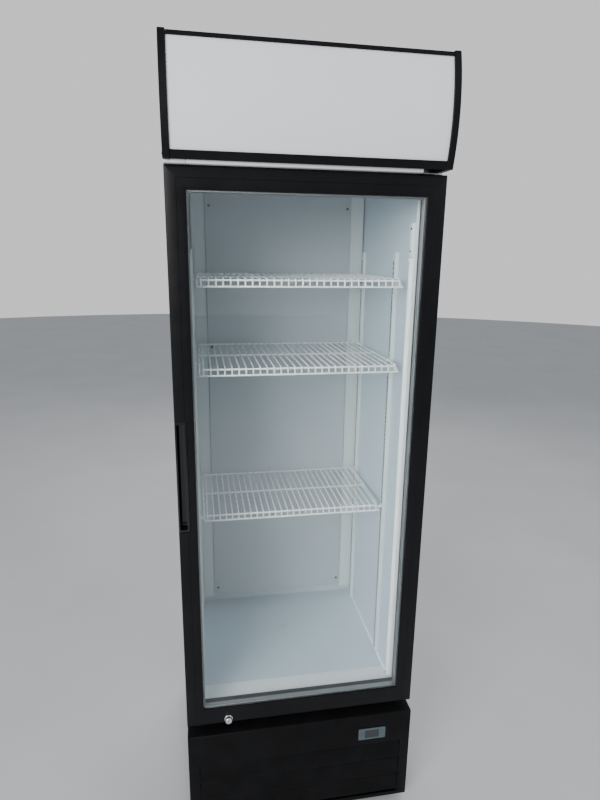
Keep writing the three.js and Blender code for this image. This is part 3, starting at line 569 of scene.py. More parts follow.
def handle_cup():
    x, y, z = span("handle_insert")
    cup = Piece("handle_cup", "handle_insert").block(x, y, z, 0.0022, 3)
    mouth = Piece("mouth", "handle_insert")
    mouth.block((x[0] + HANDLE_RIM, x[1] - 0.0062), (y[0] - 0.02, y[0] + 0.016), inset(z, 0.006), 0.0045, 4)
    cup.carve(mouth)
    scoop = Piece("scoop", "handle_insert")
    scoop.block(
        (x[0] + HANDLE_RIM, x[1] - HANDLE_WALL), (y[0] + 0.009, y[1] - HANDLE_WALL), inset(z, 0.006),
        0.006, 5,
    )
    cup.carve(scoop)
    cup.done("door", "handle_insert")


LOCK_BODY = 0.009
LOCK_HEAD = 0.0115
CAM_BACK = 0.033
CAM_FRONT = 0.029


def lock_axis():
    """The lock's x and z, and the door's front."""
    x, _, z = span("lock_barrel")
    return x[0] + LOCK_HEAD, middle(z), span("door_bottom_rail")[1][0]


def lock_space():
    x, z, front = lock_axis()
    space = Piece("space", "lock_barrel")
    space.lathe(
        [(0, -0.03), (LOCK_BODY + 0.0004, -0.03), (LOCK_BODY + 0.0004, 0.03), (0, 0.03)], (x, front, z),
        (0, 1, 0),
    )
    low = span("door_bottom_rail")[2][0]
    space.block(
        (x - 0.013, x + 0.031), (front + CAM_FRONT - 0.0006, front + CAM_BACK + 0.0006),
        (low - 0.01, z + 0.012),
    )
    return space


def door_lock():
    x, z, front = lock_axis()
    lock = Piece("door_lock", "lock_barrel", "dark_window")
    profile = [
        (0, -0.0295), (LOCK_BODY, -0.0295), (LOCK_BODY, 0.0003), (LOCK_HEAD, 0.0003),
        (LOCK_HEAD, 0.0026), (LOCK_HEAD - 0.0006, 0.0034), (LOCK_HEAD - 0.0018, 0.0038),
        (LOCK_HEAD - 0.0020, 0.0085), (LOCK_HEAD - 0.0026, 0.0106), (LOCK_HEAD - 0.0042, 0.0119),
        (LOCK_HEAD - 0.0060, 0.0123), (0.0048, 0.0121), (0.0045, 0.0112), (0, 0.0112),
    ]
    lock.lathe(profile, (x, front, z), (0, -1, 0), 40)
    # A dark sliver on the lock's face: painted shade for the key slot, which is not cut.
    lock.block(
        (x - 0.0008, x + 0.0008), (front - 0.0114, front - 0.0105), (z - 0.0034, z + 0.0034), 0.0002,
        paint=1,
    )
    reach = span("lock_barrel")[0][1]
    lock.block((x - 0.005, reach), (front + CAM_FRONT, front + CAM_BACK), (z - 0.005, z + 0.005), 0.0012, 3)
    lock.nut((x, front + CAM_FRONT - 0.003, z), (0, 1, 0), 0.0075, 0.003)
    lock.done("lock", "lock_barrel")


def mitred_ring(piece, section, half, low, high, front, paint=0):
    """A section, (inwards, back), led round a rectangle in the door's plane."""
    rings = []
    for side, end in CORNERS:
        edge = high if end > 0 else low
        rings.append([(side * (half - u), front + y, edge - end * u) for u, y in section])
    return piece.loft(rings, closed=True, paint=paint)


def glazing_spacer():
    x, y, z = span("glass_spacer")
    depth = y[1] - y[0]
    width = 0.010
    groove = 0.0007
    bar = [
        (0, 0), (width - 0.001, 0), (width, 0.001), (width, depth / 2 - 2 * groove),
        (width - groove, depth / 2 - groove), (width - groove, depth / 2 + groove),
        (width, depth / 2 + 2 * groove), (width, depth - 0.001), (width - 0.001, depth), (0, depth),
    ]
    spacer = Piece("glazing_spacer", "glass_spacer", "foot_plastic")
    mitred_ring(spacer, bar, x[1], z[0], z[1], y[0])
    sealant = 0.0024
    outside = [(-sealant, 0.0004), (-0.0001, 0.0004), (-0.0001, depth - 0.0004), (-sealant, depth - 0.0004)]
    mitred_ring(spacer, outside, x[1], z[0], z[1], y[0], paint=1)
    for side in (-1, 1):
        for edge, end in ((z[0], 1), (z[1], -1)):
            inner = x[1] - width
            legs = ((side * inner, side * (inner - 0.011)), (side * inner, side * (inner - 0.0012)))
            heights = (
                (edge + end * width, edge + end * (width + 0.0012)),
                (edge + end * width, edge + end * (width + 0.011)),
            )
            for leg, height in zip(legs, heights):
                spacer.block(sorted(leg), inset(y, 0.002), sorted(height), 0.0003)
    spacer.done("door", "glass_spacer")


def door_seal():
    x, y, z = span("door_gasket")
    thick = y[1] - y[0]
    section = [
        (0.003, 0), (0.016, 0), (0.016, 0.16 * thick), (0.019, 0.34 * thick), (0.0166, 0.52 * thick),
        (0.019, 0.70 * thick), (0.0186, 0.94 * thick), (0.0178, thick), (0.0012, thick),
        (0.0004, 0.94 * thick), (0, 0.74 * thick), (0.0024, 0.54 * thick), (0, 0.36 * thick),
        (0.003, 0.16 * thick),
    ]
    seal = Piece("door_seal", "door_gasket")
    mitred_ring(seal, section, x[1], z[0], z[1], y[0])
    seal.done("door", "door_gasket")


# ---- Cabinet inside ----
LINER_WALL = 0.0015
LINER_COVE = 0.007


def liner_shell():
    x, y, z = span("inner_liner")
    inner_x, inner_z = inset(x, LINER_WALL), inset(z, LINER_WALL)
    back = y[1] - LINER_WALL
    front = y[0] + 0.0001

    def ring(u, v, radius, depth):
        return [(a, depth, b) for a, b in rounded_rectangle(u, v, radius, 3)]

    shell = Piece("liner_shell", "inner_liner")
    shell.loft(
        [
            ring(x, z, LINER_COVE, y[1]), ring(x, z, LINER_COVE, front),
            ring(inner_x, inner_z, LINER_COVE, front),
            ring(inner_x, inner_z, LINER_COVE, back - LINER_COVE),
            ring(inset(inner_x, 0.002), inset(inner_z, 0.002), LINER_COVE, back - 0.002),
            ring(inset(inner_x, LINER_COVE), inset(inner_z, LINER_COVE), LINER_COVE, back),
        ]
    )
    strip_low = span("top_panel")[2][0]
    heights = (strip_low + 0.0005, inner_z[1] - 0.0002)
    shell.block(inset(inner_x, 0.0002), (front, front + 0.018), heights, 0.003, 3)
    shell.done("cabinet", "inner_liner")
    return inner_x, (front, back), inner_z


def floor_sill(inside):
    """The threshold strip across the front of the cabinet floor."""
    x, y, z = inside
    thick, depth, ramp_length = 0.0016, 0.058, 0.006
    outline = [
        (y[0] + 0.001, z[0]), (y[0] + 0.001, z[0] + thick), (y[0] + depth, z[0] + thick),
        (y[0] + depth + ramp_length, z[0] + 0.0002), (y[0] + depth + ramp_length, z[0]),
    ]
    sill = Piece("floor_sill", "white_steel")
    sill.prism("x", outline, inset(x, LINER_COVE))
    sill.done("cabinet")


def floor_coves(inside):
    """The slanted bead along each side of the floor, where the liner's sheets meet."""
    x, y, z = inside
    reach = 0.0055
    coves = Piece("floor_coves", "white_steel")
    for side in SIDES.values():
        wall = at_side(x, side)
        outline = [
            (wall - side * reach, z[0] + 0.0002), (wall - side * 0.0002, z[0] + 0.0002),
            (wall - side * 0.0002, z[0] + reach), (wall - side * 0.0012, z[0] + reach),
            (wall - side * reach, z[0] + 0.0012),
        ]
        coves.prism("y", outline, (y[0] + 0.001, y[1] - LINER_COVE))
    coves.done("cabinet")


def duct_cover():
    x, y, z = span("rear_duct_panel")
    sheet = 0.0012
    fold = 0.0035
    half = sheet / 2
    plan = [
        (x[0] + half, y[1]), (x[0] + half, y[0] + half), (x[1] - half, y[0] + half), (x[1] - half, y[1]),
    ]
    cover = Piece("duct_cover", "rear_duct_panel", "dark_window")
    cover.prism("z", bent_sheet(plan, sheet, fold), (z[0] + fold, z[1] - fold))
    for edge, inwards in ((z[0], 1), (z[1], -1)):
        lip = [
            (y[0] + 0.014, edge + inwards * half), (y[0] + half, edge + inwards * half),
            (y[0] + half, edge + inwards * (fold + 0.0008)),
        ]
        cover.prism("x", bent_sheet(lip, sheet, fold), inset(x, fold))
    screw_x = x[1] - 0.013
    screw_heights = (z[0] + 0.025, z[0] + 0.65 * (z[1] - z[0]), z[1] - 0.048)
    for height in screw_heights:
        for side in (-1, 1):
            cover.screw((side * screw_x, y[0], height), (0, -1, 0), 0.004, paint=1)
    cover.done("cabinet", "rear_duct_panel")


PILASTER_SHEET = 0.0009
SLOT_PITCH = 0.0127
SLOT_HEIGHT = 0.0104
SLOT_WIDTH = 0.0125
SLOT_PLACE = 0.65


def pilaster(word, side, end):
    """A channel on the side wall with a column of slots for the shelf clips."""
    node = f"{word}_{end}_pilaster"
    x, y, z = span(node)
    face, wall = at_side(x, -side), at_side(x, side)
    half = PILASTER_SHEET / 2
    z = (z[0] + 0.003, z[1])
    plan = [
        (wall, y[0] + half), (face + side * half, y[0] + half), (face + side * half, y[1] - half),
        (wall, y[1] - half),
    ]
    channel = Piece(f"{word}_{end}_slotted_pilaster", node, "black_plastic")
    channel.prism("z", bent_sheet(plan, PILASTER_SHEET, 0.0016), z)
    slot_y = y[0] + SLOT_PLACE * (y[1] - y[0])
    slots = Piece("slots", node)
    count = int((z[1] - z[0] - 0.02) / SLOT_PITCH)
    for i in range(count):
        height = z[0] + 0.014 + i * SLOT_PITCH
        slots.block(
            (face - 0.002, face + 0.002), stretch_at(slot_y, SLOT_WIDTH),
            stretch_at(height, SLOT_HEIGHT),
        )
    channel.carve(slots)
    # A black strip just behind the slotted face: painted shade, standing in for the shadowed inside of the
    # channel seen through the slots.
    shade = sorted((face + side * (PILASTER_SHEET + 0.0004), face + side * (PILASTER_SHEET + 0.0009)))
    channel.block(shade, inset(y, 0.0012), inset(z, 0.002), paint=1)
    channel.done("cabinet", node)


CLIP_WIDTH = 0.010
CLIP_SHEET = 0.0014


def shelf_clips():
    """A clip hooked in each pilaster under each shelf."""
    for level in ("bottom", "middle", "top"):
        top = span(f"{level}_shelf")[2][1]
        for word, side in SIDES.items():
            for end in ("front", "rear"):
                x, y, _ = span(f"{word}_{end}_pilaster")
                face = at_side(x, -side)
                seat = top - 0.0105
                line = [
                    (face - side * CLIP_SHEET, seat + 0.007), (face - side * CLIP_SHEET, seat),
                    (face - side * 0.011, seat), (face - side * 0.0125, seat + 0.0045),
                ]
                clip = Piece(f"{level}_{word}_{end}_clip", "shelf_wire")
                clip.prism("y", bent_sheet(line, CLIP_SHEET, 0.002), stretch_at(middle(y), CLIP_WIDTH))
                tongue = sorted((face - side * CLIP_SHEET, face + side * 0.0018))
                slot_y = y[0] + SLOT_PLACE * (y[1] - y[0])
                clip.block(tongue, (slot_y - 0.0015, slot_y + 0.0015), (seat + 0.001, seat + 0.005), 0.0004)
                clip.done("cabinet")


LONG_WIRE = 0.0019
CROSS_WIRE = 0.0024
SHELF_PITCH = 0.017
SHELF_MARGIN = 0.012


def wire_shelf(level):
    """Long wires over cross wires, bent down in front, inside an outer wire that dips at the front."""
    node = f"{level}_shelf"
    x, y, z = span(node)
    top = z[1]
    long_z = top - LONG_WIRE
    cross_z = top - 2 * LONG_WIRE - CROSS_WIRE + 0.0004
    low_z = z[0] + CROSS_WIRE
    left, right = x[0] + CROSS_WIRE, x[1] - CROSS_WIRE
    front, back = y[0] + CROSS_WIRE, y[1] - CROSS_WIRE
    dip = 0.026
    shelf = Piece(f"{level}_wire_shelf", node)
    centre = ((left + right) / 2, front, low_z)
    outline = [
        centre, (left, front, low_z), (left, front + 0.006, low_z), (left, front + dip, cross_z),
        (left, back, cross_z), (right, back, cross_z), (right, front + dip, cross_z),
        (right, front + 0.006, low_z), (right, front, low_z), centre,
    ]
    shelf.tube(round_corners(outline, 0.007)[:-1], CROSS_WIRE, closed=True)
    inner = (x[0] + SHELF_MARGIN, x[1] - SHELF_MARGIN)
    shelf.tube(
        [(inner[0] - 0.002, front + 0.0018, cross_z), (inner[1] + 0.002, front + 0.0018, cross_z)],
        CROSS_WIRE,
    )
    middle_y = (front + back) / 2
    shelf.tube([(left, middle_y, cross_z), (right, middle_y, cross_z)], CROSS_WIRE)
    gaps = round((inner[1] - inner[0]) / SHELF_PITCH)
    for wire in range(gaps + 1):
        wire_x = inner[0] + (inner[1] - inner[0]) * wire / gaps
        line = [
            (wire_x, back, long_z), (wire_x, front - 0.0003, long_z),
            (wire_x, front - 0.0003, low_z - 0.0005),
        ]
        shelf.tube(round_corners(line, 0.0035), LONG_WIRE)
    shelf.done(node, node, sharp=60)


def light_strip():
    x, y, z = span("interior_light")
    lens_top = z[1] - 0.080
    wall = x[1]
    strip = Piece("light_strip", "interior_light", "white_steel", "dark_window")
    base = [
        (wall, y[0]), (wall, y[1]), (wall - 0.004, y[1]), (wall - 0.0052, y[1] - 0.0014),
        (wall - 0.0052, y[0] + 0.0014), (wall - 0.004, y[0]),
    ]
    strip.prism("z", base, (z[0], lens_top), paint=1)
    lens_half = (y[1] - y[0]) / 2 - 0.0028
    bulge = (wall - 0.0054) - x[0]
    angles = [math.pi * step / 10 for step in range(11)]
    centre = middle(y)
    lens = [(wall - 0.0054 - bulge * math.sin(a), centre + lens_half * math.cos(a)) for a in angles]
    strip.prism("z", lens, (z[0] + 0.014, lens_top - 0.014), edge=0.0006)
    for low, high in ((z[0] + 0.001, z[0] + 0.0135), (lens_top - 0.0135, lens_top - 0.001)):
        strip.block((x[0], wall - 0.005), inset(y, 0.0018), (low, high), 0.0016, 3, paint=1)
    strip.lathe(
        [(0, 0), (0.0032, 0), (0.0032, 0.0012), (0.0022, 0.0018), (0, 0.0018)],
        (x[0] + 0.0004, centre, z[0] + 0.0075), (-1, 0, 0), 16, paint=2,
    )
    holder = (x[0] + 0.002, wall)
    strip.block(holder, inset(y, 0.002), (lens_top + 0.0005, z[1]), 0.002, 3, paint=1)
    for height in (lens_top + 0.014, z[1] - 0.014):
        strip.screw((holder[0], centre, height), (-1, 0, 0), 0.003, paint=2)
    strip.done("cabinet", "interior_light")


def floor_drain():
    x, y, z = span("drain_cup")
    centre = (middle(x), middle(y))
    outer = x[1] - centre[0]
    bore = 0.0062
    wall = 0.0018
    drain = Piece("floor_drain", "drain_cup", "dark_window")
    profile = [
        (bore, z[0]), (bore + wall, z[0]), (bore + wall, z[1] - 0.0015), (outer, z[1] - 0.0015),
        (outer - 0.0004, z[1] - 0.0004), (outer - 0.002, z[1]), (bore + 0.001, z[1] - 0.0006),
        (bore, z[1] - 0.0016),
    ]
    drain.lathe(profile, (*centre, 0), closed=True)
    for turn in range(3):
        angle = math.pi * turn / 3
        reach = Vector((math.cos(angle), math.sin(angle), 0)) * (bore + 0.0006)
        hub = Vector((*centre, z[1] - 0.0022))
        drain.tube([hub - reach, hub + reach], 0.0008, 6)
    drain.done("cabinet", "drain_cup")


# ---- Base ----
BASE_WALL = 0.003
LOUVRE_COUNT = 4
LOUVRE_SLOT = 0.006
LOUVRE_FIRST = 0.017
LOUVRE_PITCH = 0.058
LOUVRE_MARGIN = 0.028
LOUVRE_LEAN = 0.0045


def base_cover():
    x, y, z = span("front_grille")
    field = (x[0] + LOUVRE_MARGIN, x[1] - LOUVRE_MARGIN)
    slots = [z[0] + LOUVRE_FIRST + i * LOUVRE_PITCH for i in range(LOUVRE_COUNT)]
    half = LOUVRE_SLOT / 2
    cover = Piece("base_cover", "front_grille").block(x, (y[0], y[1] + 0.03), z, 0.0035, 3)
    hollow = Piece("hollow", "front_grille")
    hollow.block(inset(x, BASE_WALL), (y[0] + BASE_WALL, y[1] + 0.05), (z[0] - 0.02, z[1] - BASE_WALL))
    cover.carve(hollow)
    behind = Piece("behind", "front_grille").block(
        (x[0] - 0.02, x[1] + 0.02), (y[1], y[1] + 0.06), (z[0] - 0.02, z[1] + 0.02),
    )
    cover.carve(behind)
    window = Piece("window", "front_grille")
    window.block(field, (y[0] - 0.02, y[0] + 0.01), (slots[0] - half, slots[-1] + half))
    body_x, _, body_z = span("controller_body")
    margin = 0.0037
    window.block(inset(body_x, margin), (y[0] - 0.02, y[0] + 0.01), inset(body_z, margin))
    cover.carve(window)
    flange = (z[0], z[0] + 0.0015)
    cover.block(inset(x, BASE_WALL / 2), (y[0] + BASE_WALL / 2, y[0] + 0.026), flange, 0.0003)
    cover.done("cabinet", "front_grille")

    louvres = Piece("base_louvres", "black_plastic")
    for below, above in zip(slots, slots[1:]):
        low, high = below + half, above - half
        lean = y[0] + LOUVRE_LEAN
        line = [
            (y[0] + 0.011, low + 0.004), (y[0] + 0.0012, low + 0.0012), (y[0] + 0.0012, low + 0.004),
            (lean, high - 0.0012), (lean + 0.008, high + 0.004),
        ]
        louvres.prism("x", bent_sheet(line, 0.0022, 0.0025), inset(field, -0.0002))
    louvres.done("cabinet")

    screen = Piece("dust_screen", "black_plastic")
    wires = 60
    for i in range(wires + 1):
        place = field[0] + (field[1] - field[0]) * i / wires
        wire = (place, y[0] + 0.018)
        screen.tube([(*wire, slots[0] - 0.014), (*wire, slots[-1] + 0.01)], 0.0006, 4)
    sheet_heights = (slots[0] - 0.016, slots[-1] + 0.012)
    screen.block(inset(field, -0.012), (y[0] + 0.0185, y[0] + 0.0195), sheet_heights, 0.0003)
    screen.done("cabinet")


def controller():
    x, y, z = span("controller_body")
    bezel_back = y[0] + 0.002
    body = Piece("controller_bezel", "controller_body", "black_plastic")
    body.prism("y", rounded_rectangle(x, z, 0.003), (y[0], bezel_back), edge=0.0006)
    body.block(inset(x, 0.0043), (bezel_back - 0.0005, y[1]), inset(z, 0.0043), 0.0008, paint=1)
    window_x, window_y, window_z = span("controller_window")
    pockets = Piece("pockets", "controller_body")
    pockets.prism(
        "y", rounded_rectangle(inset(window_x, -0.0003), inset(window_z, -0.0003), 0.001),
        (y[0] - 0.01, y[0] + 0.001),
    )
    for word in SIDES:
        button_x, button_y, button_z = span(f"controller_{word}_button")
        outline = rounded_rectangle(inset(button_x, -0.0004), inset(button_z, -0.0004), 0.0022)
        pockets.prism("y", outline, (y[0] - 0.01, button_y[1] + 0.0011))
    body.carve(pockets)
    rim = [(0, 0), (0.0014, 0), (0.0011, -0.0006), (0.0003, -0.0006)]
    half = (window_x[1] - window_x[0]) / 2 + 0.0018
    rings = []
    for side, end in CORNERS:
        edge = window_z[1] + 0.0018 if end > 0 else window_z[0] - 0.0018
        rings.append(
            [(middle(window_x) + side * (half - u), y[0] + depth, edge - end * u) for u, depth in rim]
        )
    body.loft(rings, closed=True)
    body.done("cabinet", "controller_body")

    window = Piece("display_window", "controller_window")
    window.prism("y", rounded_rectangle(window_x, window_z, 0.0008), window_y, edge=0.0003)
    window.done("cabinet", "controller_window")

    for word in SIDES:
        node = f"controller_{word}_button"
        button_x, button_y, button_z = span(node)
        button = Piece(f"{word}_key", node)
        button.prism("y", rounded_rectangle(button_x, button_z, 0.002), button_y, edge=0.0005)
        dish_x, dish_z = inset(button_x, 0.0022), inset(button_z, 0.0035)
        dish = Piece("dish", node)
        dish.block(dish_x, (button_y[0] - 0.01, button_y[0] + 0.00035), dish_z, 0.0003)
        button.carve(dish)
        button.done(f"controller_{word}_button", node)


def levelling_feet():
    for end in ("front", "rear"):
        for word in SIDES:
            node = f"{end}_{word}_foot"
            x, y, z = span(node)
            centre = (middle(x), middle(y), z[0])
            pad = x[1] - centre[0]
            height = z[1] - z[0]
            pan = span("base_pan")[2][0]
            stud = 0.005
            foot = Piece(f"{end}_{word}_levelling_foot", node, "zinc_steel")
            profile = [
                (0, 0.0006), (pad - 0.004, 0.0006), (pad - 0.003, 0), (pad - 0.0008, 0), (pad, 0.0015),
                (pad, 0.0048), (pad - 0.002, 0.0068), (pad - 0.008, 0.0085), (stud + 0.0055, 0.0105),
                (stud + 0.0045, 0.013), (0, 0.013),
            ]
            foot.lathe(profile, centre, sides=40)
            foot.nut(Vector(centre) + Vector((0, 0, 0.013)), (0, 0, 1), 0.0098, 0.0075, paint=1)
            thread = []
            turns = 34
            start = 0.0205
            for turn in range(turns):
                base = start + (height - start - 0.001) * turn / turns
                thread.append((stud - 0.0006, base))
                thread.append((stud, base + 0.4 * (height - start) / turns))
            foot.lathe([(0, start), *thread, (stud - 0.001, height), (0, height)], centre, sides=16, paint=1)
            washer = pan - z[0] - 0.0085
            foot.nut(Vector(centre) + Vector((0, 0, washer + 0.0032)), (0, 0, 1), 0.0088, 0.005, paint=1)
            foot.done(node, node)


# ---- Sign box ----
CANOPY_BULGE = 0.017
CANOPY_STEPS = 28
RAIL_LIP = 0.004


def canopy_frame():
    """The bowed face's height range and a function from height to its place along y."""
    _, y, z = span("canopy_left_end_cap")
    half = (z[1] - z[0]) / 2
    radius = (half * half + CANOPY_BULGE * CANOPY_BULGE) / (2 * CANOPY_BULGE)
    centre = middle(z)

    def bow(height):
        from_middle = height - centre
        return y[0] + radius - math.sqrt(radius * radius - from_middle * from_middle)

    return bow, z


def bow_outline(bow, low, high, front, back, steps=CANOPY_STEPS):
    """A strip's (y, z) outline along the bowed face, between two setbacks."""
    heights = [low + (high - low) * i / steps for i in range(steps + 1)]
    return [(bow(z) + front, z) for z in heights] + [(bow(z) + back, z) for z in reversed(heights)]


def end_caps(bow, z):
    front_y = span("left_side_panel")[1][0]
    roof = span("left_side_panel")[2][1]
    for word, side in SIDES.items():
        node = f"canopy_{word}_end_cap"
        x, y, _ = span(node)
        heights = [z[1] - (z[1] - z[0]) * i / CANOPY_STEPS for i in range(CANOPY_STEPS + 1)]
        outline = [
            *[(bow(height), height) for height in heights], (front_y - 0.0003, z[0]),
            (front_y - 0.0003, roof + 0.0003), (y[1], roof + 0.0003), (y[1], z[1]),
        ]
        cap = Piece(f"{word}_sign_cap", node)
        cap.prism("x", outline, x, edge=0.0012)
        outer = at_side(x, side)
        for place in (
            (y[1] - 0.012, z[1] - 0.012), (y[1] - 0.012, roof + 0.012), (bow(z[0]) + 0.02, z[0] + 0.012),
        ):
            cap.screw((outer, *place), (side, 0, 0), 0.0034)
        cap.done("cabinet", node, sharp=28)


def sign_rails(bow):
    drop = 0.0022
    lip = 0.0014
    sheet = 0.0018
    for word, inwards in (("bottom", 1), ("top", -1)):
        node = f"canopy_{word}_rail"
        x, y, (low, high) = span(node)
        if inwards > 0:
            web_top = high - RAIL_LIP
        else:
            high -= drop
            web_top = high
        rail = Piece(f"{word}_sign_rail", node)
        rail.prism("x", bow_outline(bow, low, high, 0.0025, 0.0045, 10), x)
        inner = high if inwards > 0 else low
        bead = [
            (bow(inner) + 0.0016, inner - inwards * lip),
            (bow(inner) + 0.0013, inner - inwards * lip / 2), (bow(inner) + 0.0018, inner),
            (bow(inner) + 0.0046, inner), (bow(inner) + 0.0046, inner - inwards * lip),
        ]
        rail.prism("x", bead, x)
        rail.block(x, (bow(web_top) + 0.0030, y[1]), (web_top - sheet, web_top), 0.0006)
        outside = web_top - sheet if inwards > 0 else web_top
        for share in (0.08, 0.36, 0.64, 0.92):
            place = x[0] + share * (x[1] - x[0])
            rail.screw((place, y[1] - 0.012, outside), (0, 0, -inwards), 0.003)
        rail.done("cabinet", node, sharp=28)


def sign_face(bow):
    x, _, (low, high) = span("sign_panel")
    setback, thick = 0.0048, 0.003
    face = Piece("sign_face", "sign_panel")
    stations = 5
    places = [x[0] + (x[1] - x[0]) * i / (stations - 1) for i in range(stations)]
    outline = bow_outline(bow, low, high - 0.0022, setback, setback + thick)
    face.loft([[(place, y, height) for y, height in outline] for place in places])
    face.done("cabinet", "sign_panel", sharp=50)


def header_strip(bow):
    """The white sill above the door that the sign box stands on, in two lengths with a fine joint."""
    x, y, z = span("canopy_bottom_rail")
    door_top = span("door_top_rail")[2][1]
    side_x, _, _ = span("left_side_panel")
    joint = side_x[0] + 0.046
    front = bow(z[0]) + 0.009
    heights = (door_top + 0.0015, z[1] - RAIL_LIP - 0.0025)
    strip = Piece("header_strip", "white_steel")
    for ends in ((x[0] + 0.0004, joint - 0.0003), (joint + 0.0003, span("top_hinge_bracket")[0][0] - 0.002)):
        strip.block(ends, (front, y[1] + 0.004), heights, 0.0006)
    strip.block(
        (side_x[0] + 0.0005, x[0] + 0.0008), (front, y[1] + 0.004), (heights[0], z[0] - 0.0004), 0.0005,
    )
    strip.done("cabinet")


def sign_lamp():
    x, y, z = span("canopy_lamp")
    tray = Piece("sign_lamp", "canopy_lamp", "white_steel", "grey_plastic")
    centre = (y[0] + 0.013, middle(z))
    bottom, top = inset(z, 0.001)
    front, back = y[1] - 0.013, y[1] - 0.001
    tray_line = [(front, bottom), (back, bottom), (back, top), (front, top)]
    tray.prism("x", bent_sheet(tray_line, 0.0012, 0.003), x, paint=1)
    ends = inset(x, 0.012)
    tray.lathe(
        [(0, ends[0] + 0.02), (0.0125, ends[0] + 0.02), (0.0125, ends[1] - 0.02), (0, ends[1] - 0.02)],
        (0, *centre), (1, 0, 0),
    )
    for end, inwards in ((ends[0], 1), (ends[1], -1)):
        stretch = sorted((end, end + inwards * 0.022))
        tray.lathe(
            [
                (0, stretch[0]), (0.012, stretch[0]), (0.013, stretch[0] + 0.002), (0.013, stretch[1]),
                (0, stretch[1]),
            ],
            (0, *centre), (1, 0, 0), paint=2,
        )
        tray.block(
            stretch, (centre[0], y[1] - 0.0015), (centre[1] - 0.009, centre[1] + 0.009), 0.002, paint=2,
        )
    tray.done("cabinet", "canopy_lamp")


# ---- Hinges ----
def hinge_bracket(end):
    node = f"{end}_hinge_bracket"
    x, y, z = span(node)
    plate = 0.003
    pin = 0.005
    pin_x = x[1] - 0.012
    pin_y = y[0] + 0.012
    if end == "top":
        plate_z = (span("door_top_rail")[2][1] + 0.002, span("door_top_rail")[2][1] + 0.002 + plate)
        pin_z = (z[0], plate_z[1] + 0.001)
        flange_z = (plate_z[0], z[1])
    else:
        low = span("door_bottom_rail")[2][0] - 0.005
        plate_z = (low - plate, low)
        pin_z = (plate_z[0] - 0.001, z[1])
        flange_z = (z[0], plate_z[1])
    bracket = Piece(f"{end}_hinge", node, "zinc_steel")
    reach = 0.012
    quarter = [math.pi / 2 * i / 6 for i in range(7)]
    ears = [(pin_x + reach * math.sin(a), pin_y - reach * math.cos(a)) for a in quarter]
    outline = [(x[0], y[1]), (x[0] + 0.002, pin_y - reach), *ears, (pin_x + reach, y[1])]
    bracket.prism("z", outline, plate_z, edge=0.0005)
    bracket.block((x[0], middle((x[0], x[1])) + 0.029), (y[1] - plate, y[1]), flange_z, 0.0008)
    profile = [(0, pin_z[0]), (pin - 0.0012, pin_z[0]), (pin, pin_z[0] + 0.0012)]
    profile += [(pin, pin_z[1] - 0.0012), (pin - 0.0012, pin_z[1]), (0, pin_z[1])]
    bracket.lathe(profile, (pin_x, pin_y, 0), sides=24)
    washer = (plate_z[0] - 0.0012, plate_z[0]) if end == "top" else (plate_z[1], plate_z[1] + 0.0012)
    ring = [(pin, washer[0]), (0.0085, washer[0]), (0.0085, washer[1]), (pin, washer[1])]
    bracket.lathe(ring, (pin_x, pin_y, 0), closed=True, paint=1)
    bolt_y = pin_y + 0.014
    for place in (x[0] + 0.012, x[0] + 0.028):
        if end == "top":
            bracket.screw(
                (place, y[1] - plate, middle((plate_z[1], flange_z[1]))), (0, -1, 0), 0.0042, paint=1,
            )
        else:
            bracket.screw((place, bolt_y, plate_z[1]), (0, 0, 1), 0.0042, paint=1)
    bracket.done("cabinet", node)


# ---- Machine bay ----
def compressor_set():
    x, y, z = span("compressor")
    radius = 0.068
    centre = (x[1] - radius - 0.018, middle(y))
    low, high = z[0] + 0.006, z[1]
    pot = Piece("compressor_pot", "compressor", "black_plastic", "copper", "zinc_steel")
    rise = 0.045
    quarter = [math.pi / 2 * i / 10 for i in range(10)]
    dome = [(radius * math.cos(a), high - rise + rise * math.sin(a)) for a in quarter]
    seam = low + 0.55 * (high - low)
    profile = [
        (0, low), (radius - 0.018, low), (radius - 0.006, low + 0.004), (radius, low + 0.014),
        (radius, seam - 0.002), (radius + 0.0022, seam - 0.001), (radius + 0.0022, seam + 0.002),
        (radius - 0.0006, seam + 0.003), *dome, (0, high),
    ]
    pot.lathe(profile, (*centre, 0), sides=64)
    plate_half = (radius + 0.018, 0.050)
    plate_x = (centre[0] - plate_half[0], centre[0] + plate_half[0])
    plate_y = (centre[1] - plate_half[1], centre[1] + plate_half[1])
    pot.prism("z", rounded_rectangle(plate_x, plate_y, 0.014, 6), (low - 0.0006, low + 0.0024), edge=0.0006)
    for corner_x in inset(plate_x, 0.013):
        for corner_y in inset(plate_y, 0.013):
            pot.lathe(
                [(0, z[0]), (0.010, z[0]), (0.0085, z[0] + 0.003), (0.010, low - 0.0007), (0, low - 0.0007)],
                (corner_x, corner_y, 0),
                sides=20,
                paint=1,
            )
            pot.nut((corner_x, corner_y, low + 0.0024), (0, 0, 1), 0.0055, 0.004, paint=3)
    terminal_x = (x[0], x[0] + 0.030)
    pot.block(
        terminal_x, (centre[1] - 0.028, centre[1] + 0.028), (low + 0.040, low + 0.100), 0.004, 3,
        paint=1,
    )
    clasp = (terminal_x[0] - 0.0015, centre[1] - 0.022)
    pot.tube([(*clasp, low + 0.05), (*clasp, low + 0.09)], 0.0015, paint=3)
    stub = [
        (centre[0] + 0.05, centre[1] + 0.03, low + 0.12),
        (centre[0] + 0.064, centre[1] + 0.045, low + 0.125),
        (centre[0] + 0.064, centre[1] + 0.055, low + 0.150),
    ]
    pot.tube(round_corners(stub, 0.012), 0.0032, 10, paint=2)
    pot.done("cabinet", "compressor")


